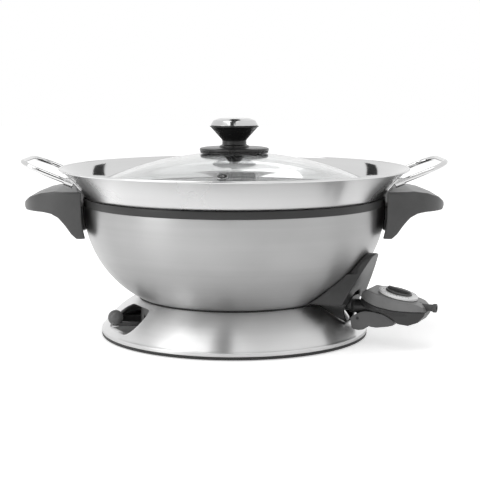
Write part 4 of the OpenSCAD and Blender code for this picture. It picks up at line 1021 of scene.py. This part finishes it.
# %% Lens, its ring and the grip ribs
LENS_PLACE = on_probe(168, 60.2, -71)
lens_outline = fillet([(AXIS_R, -1.85), (2.95, -1.85), (2.95, 0.15, 0.3), (2.0, 0.6, 0.6), (AXIS_R, 0.7)])
lens_dome = turned("lens_dome", [lens_outline], lens_amber, segments=64, place=LENS_PLACE)
settle(lens_dome, "probe", "lens_amber", "indicator_lens")
ring_outline = arc((3.7, 0.1), 0.72, 0, 345, 23)
lens_ring = turned("lens_ring", [ring_outline], rim_steel, segments=96, place=LENS_PLACE)
ride_along(lens_ring, "probe")
PARTING = [(166.5, 56.5), (178, 52), (190, 49), (210, 46.5), (243, 44.8)]
LEAF_MIDDLE, LEAF_HALF, LEAF_R = 204.5, 26.0, 60.0


def parting_z(outwards):
    for (s1, z1), (s2, z2) in zip(PARTING, PARTING[1:]):
        if outwards <= s2:
            return z1 + (z2 - z1) * (outwards - s1) / (s2 - s1)
    return PARTING[-1][1]


def leaf_half(outwards):
    return LEAF_HALF - LEAF_R + math.sqrt(LEAF_R ** 2 - (outwards - LEAF_MIDDLE) ** 2)


def rod_along(points, radius, name, material):
    """A round rod along points in metres, as a mesh."""
    curve = bpy.data.curves.new(name, "CURVE")
    curve.dimensions = "3D"
    curve.bevel_depth = radius
    curve.bevel_resolution = 3
    curve.use_fill_caps = True
    spline = curve.splines.new("NURBS")
    spline.points.add(len(points) - 1)
    for point, place in zip(spline.points, points):
        point.co = (*place, 1)
    spline.use_endpoint_u = True
    spline.order_u = 4
    mesh = curve_mesh(curve, material)
    for face in mesh.polygons:
        face.use_smooth = True
    return add_object(name, mesh)


RIB_FROM, RIB_RUN, RIB_STEPS = 172, 52, 20
RIB_R, RIB_SUNK = 0.42, 0.15
RIB_COUNT, FIRST_DROP, DROP_STEP = 3, 1.3, 1.7
FADE_FROM, FADE_RUN = 166, 20
for side, side_name in ((-1, "right"), (1, "left")):
    for row in range(RIB_COUNT):
        line = []
        for i in range(RIB_STEPS + 1):
            outwards = RIB_FROM + RIB_RUN * i / RIB_STEPS
            drop = (FIRST_DROP + DROP_STEP * row) * min(1.0, (outwards - FADE_FROM) / FADE_RUN)
            across = side * (leaf_half(outwards) - RIB_SUNK)
            line.append(SOCKET_TURN @ (Vector((outwards, across, parting_z(outwards) - drop)) * MM))
        rib = rod_along(line, RIB_R * MM, f"probe_rib_{side_name}_{row + 1}", probe_dark)
        ride_along(rib, "probe")

# %% [markdown]
# Everything that keeps its engineering mesh gets the finish that its record names. Three slots in the
# record have no material of their own name, so they are added first.

# %% Materials for the remaining nodes
FINISHES.update({"pin_nickel": fastener_steel, "rod_steel": fastener_steel, "lid_glass": lid_clear})
for subpart in frame["record"]["subparts"]:
    node = frame["nodes"][subpart["node"]]
    for holder in node.material_slots:
        holder.material = FINISHES[subpart["material_slot"]]
for holder in frame["nodes"]["trigger_pin"].material_slots:
    holder.material = FINISHES["pin_black"]
print("finishes:", len(FINISHES))

# %% [markdown]
# The stage is a pale floor and a white room. The room is full white wherever the camera, a reflection or
# the glass looks at it, and a little lower for diffuse light, so that plastics keep their shape. In
# reflections the floor's glow carries painted shade: it is darker close to the base and towards the right.

# %% Floor and world
FLOOR_GLOW = 0.5
# Painted shade in the floor's glow as reflections see it: darker near the base and to the right.
NEAR_SHADE = {"From_Min": 0.17, "From_Max": 0.32, "To_Min": 0.30, "To_Max": 1.0}
RIGHT_SHADE = {"From_Min": 0.0, "From_Max": 0.6, "To_Min": 1.0, "To_Max": 0.60}


def make_floor_paint():
    material, tree, shader = new_material("floor_paint")
    path = tree.nodes.new("ShaderNodeLightPath").outputs
    place = tree.nodes.new("ShaderNodeTexCoord").outputs["Object"]
    away = add_node(tree, "ShaderNodeVectorMath", {"operation": "LENGTH"}, Vector=place).outputs["Value"]
    sideways = add_node(tree, "ShaderNodeSeparateXYZ", Vector=place).outputs["X"]
    near = add_node(tree, "ShaderNodeMapRange", Value=away, **NEAR_SHADE).outputs[0]
    right = add_node(tree, "ShaderNodeMapRange", Value=sideways, **RIGHT_SHADE).outputs[0]
    mirrored = math_node(tree, "MULTIPLY", math_node(tree, "MULTIPLY", near, right), path["Is Glossy Ray"])
    direct = math_node(tree, "MAXIMUM", path["Is Camera Ray"], path["Is Transmission Ray"])
    seen = math_node(tree, "MAXIMUM", direct, mirrored)
    set_inputs(tree, shader, Base_Color=grey(0.92), Roughness=0.9, Emission_Color=grey(1.0),
               Emission_Strength=math_node(tree, "MULTIPLY", seen, FLOOR_GLOW))
    return material


FLOOR_HALF = 6.0
floor_data = bmesh.new()
bmesh.ops.create_grid(floor_data, x_segments=4, y_segments=4, size=FLOOR_HALF)
floor = finish_mesh("studio_floor", floor_data, make_floor_paint())

world = bpy.data.worlds.new("white_room")
bpy.context.scene.world = world
world.use_nodes = True
room = world.node_tree
path = room.nodes.new("ShaderNodeLightPath").outputs
direct = math_node(room, "MAXIMUM", path["Is Camera Ray"], path["Is Glossy Ray"])
seen = math_node(room, "MAXIMUM", direct, path["Is Transmission Ray"])
ROOM_DIFFUSE = 0.62
glow = add_node(room, "ShaderNodeMapRange", Value=seen, To_Min=ROOM_DIFFUSE, To_Max=1.0)
set_inputs(room, room.nodes["Background"], Color=grey(1.0), Strength=glow.outputs[0])

# %% [markdown]
# Two large soft lamps shape the picture, and dark cards stand where the photographer's black flags
# stood. The cards are seen only in reflections, as flags outside the picture are.

# %% Lamps and cards
def soft_lamp(name, place, aim, size, power):
    light = bpy.data.lights.new(name, "AREA")
    light.shape = "RECTANGLE"
    light.size, light.size_y = size
    light.energy = power
    lamp = add_object(name, light)
    lamp.location = place
    lamp.rotation_euler = (Vector(aim) - Vector(place)).to_track_quat("-Z", "Y").to_euler()


LAMP_AIM = (0, 0, 0.1)
soft_lamp("lamp_above", (-0.5, -0.5, 2.2), LAMP_AIM, (1.8, 1.4), 17)
soft_lamp("lamp_left", (-2.0, -1.2, 0.9), LAMP_AIM, (1.0, 1.6), 9)


card_paint, card_tree, card_shader = new_material("card_black")
set_inputs(card_tree, card_shader, Base_Color=grey(0.01), Roughness=1.0)


def card(name, corners):
    """A flat dark card that only reflections see."""
    card_data = bmesh.new()
    card_data.faces.new([card_data.verts.new(corner) for corner in corners])
    piece = finish_mesh(name, card_data, card_paint)
    for ray in ("camera", "diffuse", "shadow", "transmission"):
        setattr(piece, f"visible_{ray}", False)


CARDS = {
    "overhead_card": [(-0.040, -0.2, 0.5), (0.032, -0.2, 0.5), (0.032, 0.17, 0.5), (-0.040, 0.17, 0.5)],
    "far_overhead_card": [(-0.085, 0.5, 1.1), (0.105, 0.5, 1.1), (0.105, 1.1, 1.1), (-0.085, 1.1, 1.1)],
    "back_card_right": [
        (0.460, 1.294, 1.138), (0.379, 0.972, 1.077), (0.291, 0.618, 0.643), (0.415, 1.114, 0.795)],
    "back_card_left": [
        (-0.430, 1.294, 1.10), (-0.349, 0.972, 1.04), (-0.261, 0.618, 0.61), (-0.385, 1.114, 0.76)],
    "front_card": [(-0.33, -1.25, 0.5), (-0.02, -1.25, 0.5), (-0.02, -1.25, 1.1), (-0.33, -1.25, 1.1)],
    "front_overhead_card": [
        (-0.31, -0.25, 1.1), (-0.02, -0.25, 1.1), (-0.02, -1.25, 1.1), (-0.33, -1.25, 1.1)],
    "horizon_card": [(-1.6, -2.2, 0.35), (1.6, -2.2, 0.35), (1.6, -2.2, 0.70), (-1.6, -2.2, 0.70)],
}
for card_name, card_corners in CARDS.items():
    card(card_name, card_corners)
print("cards:", len(CARDS))
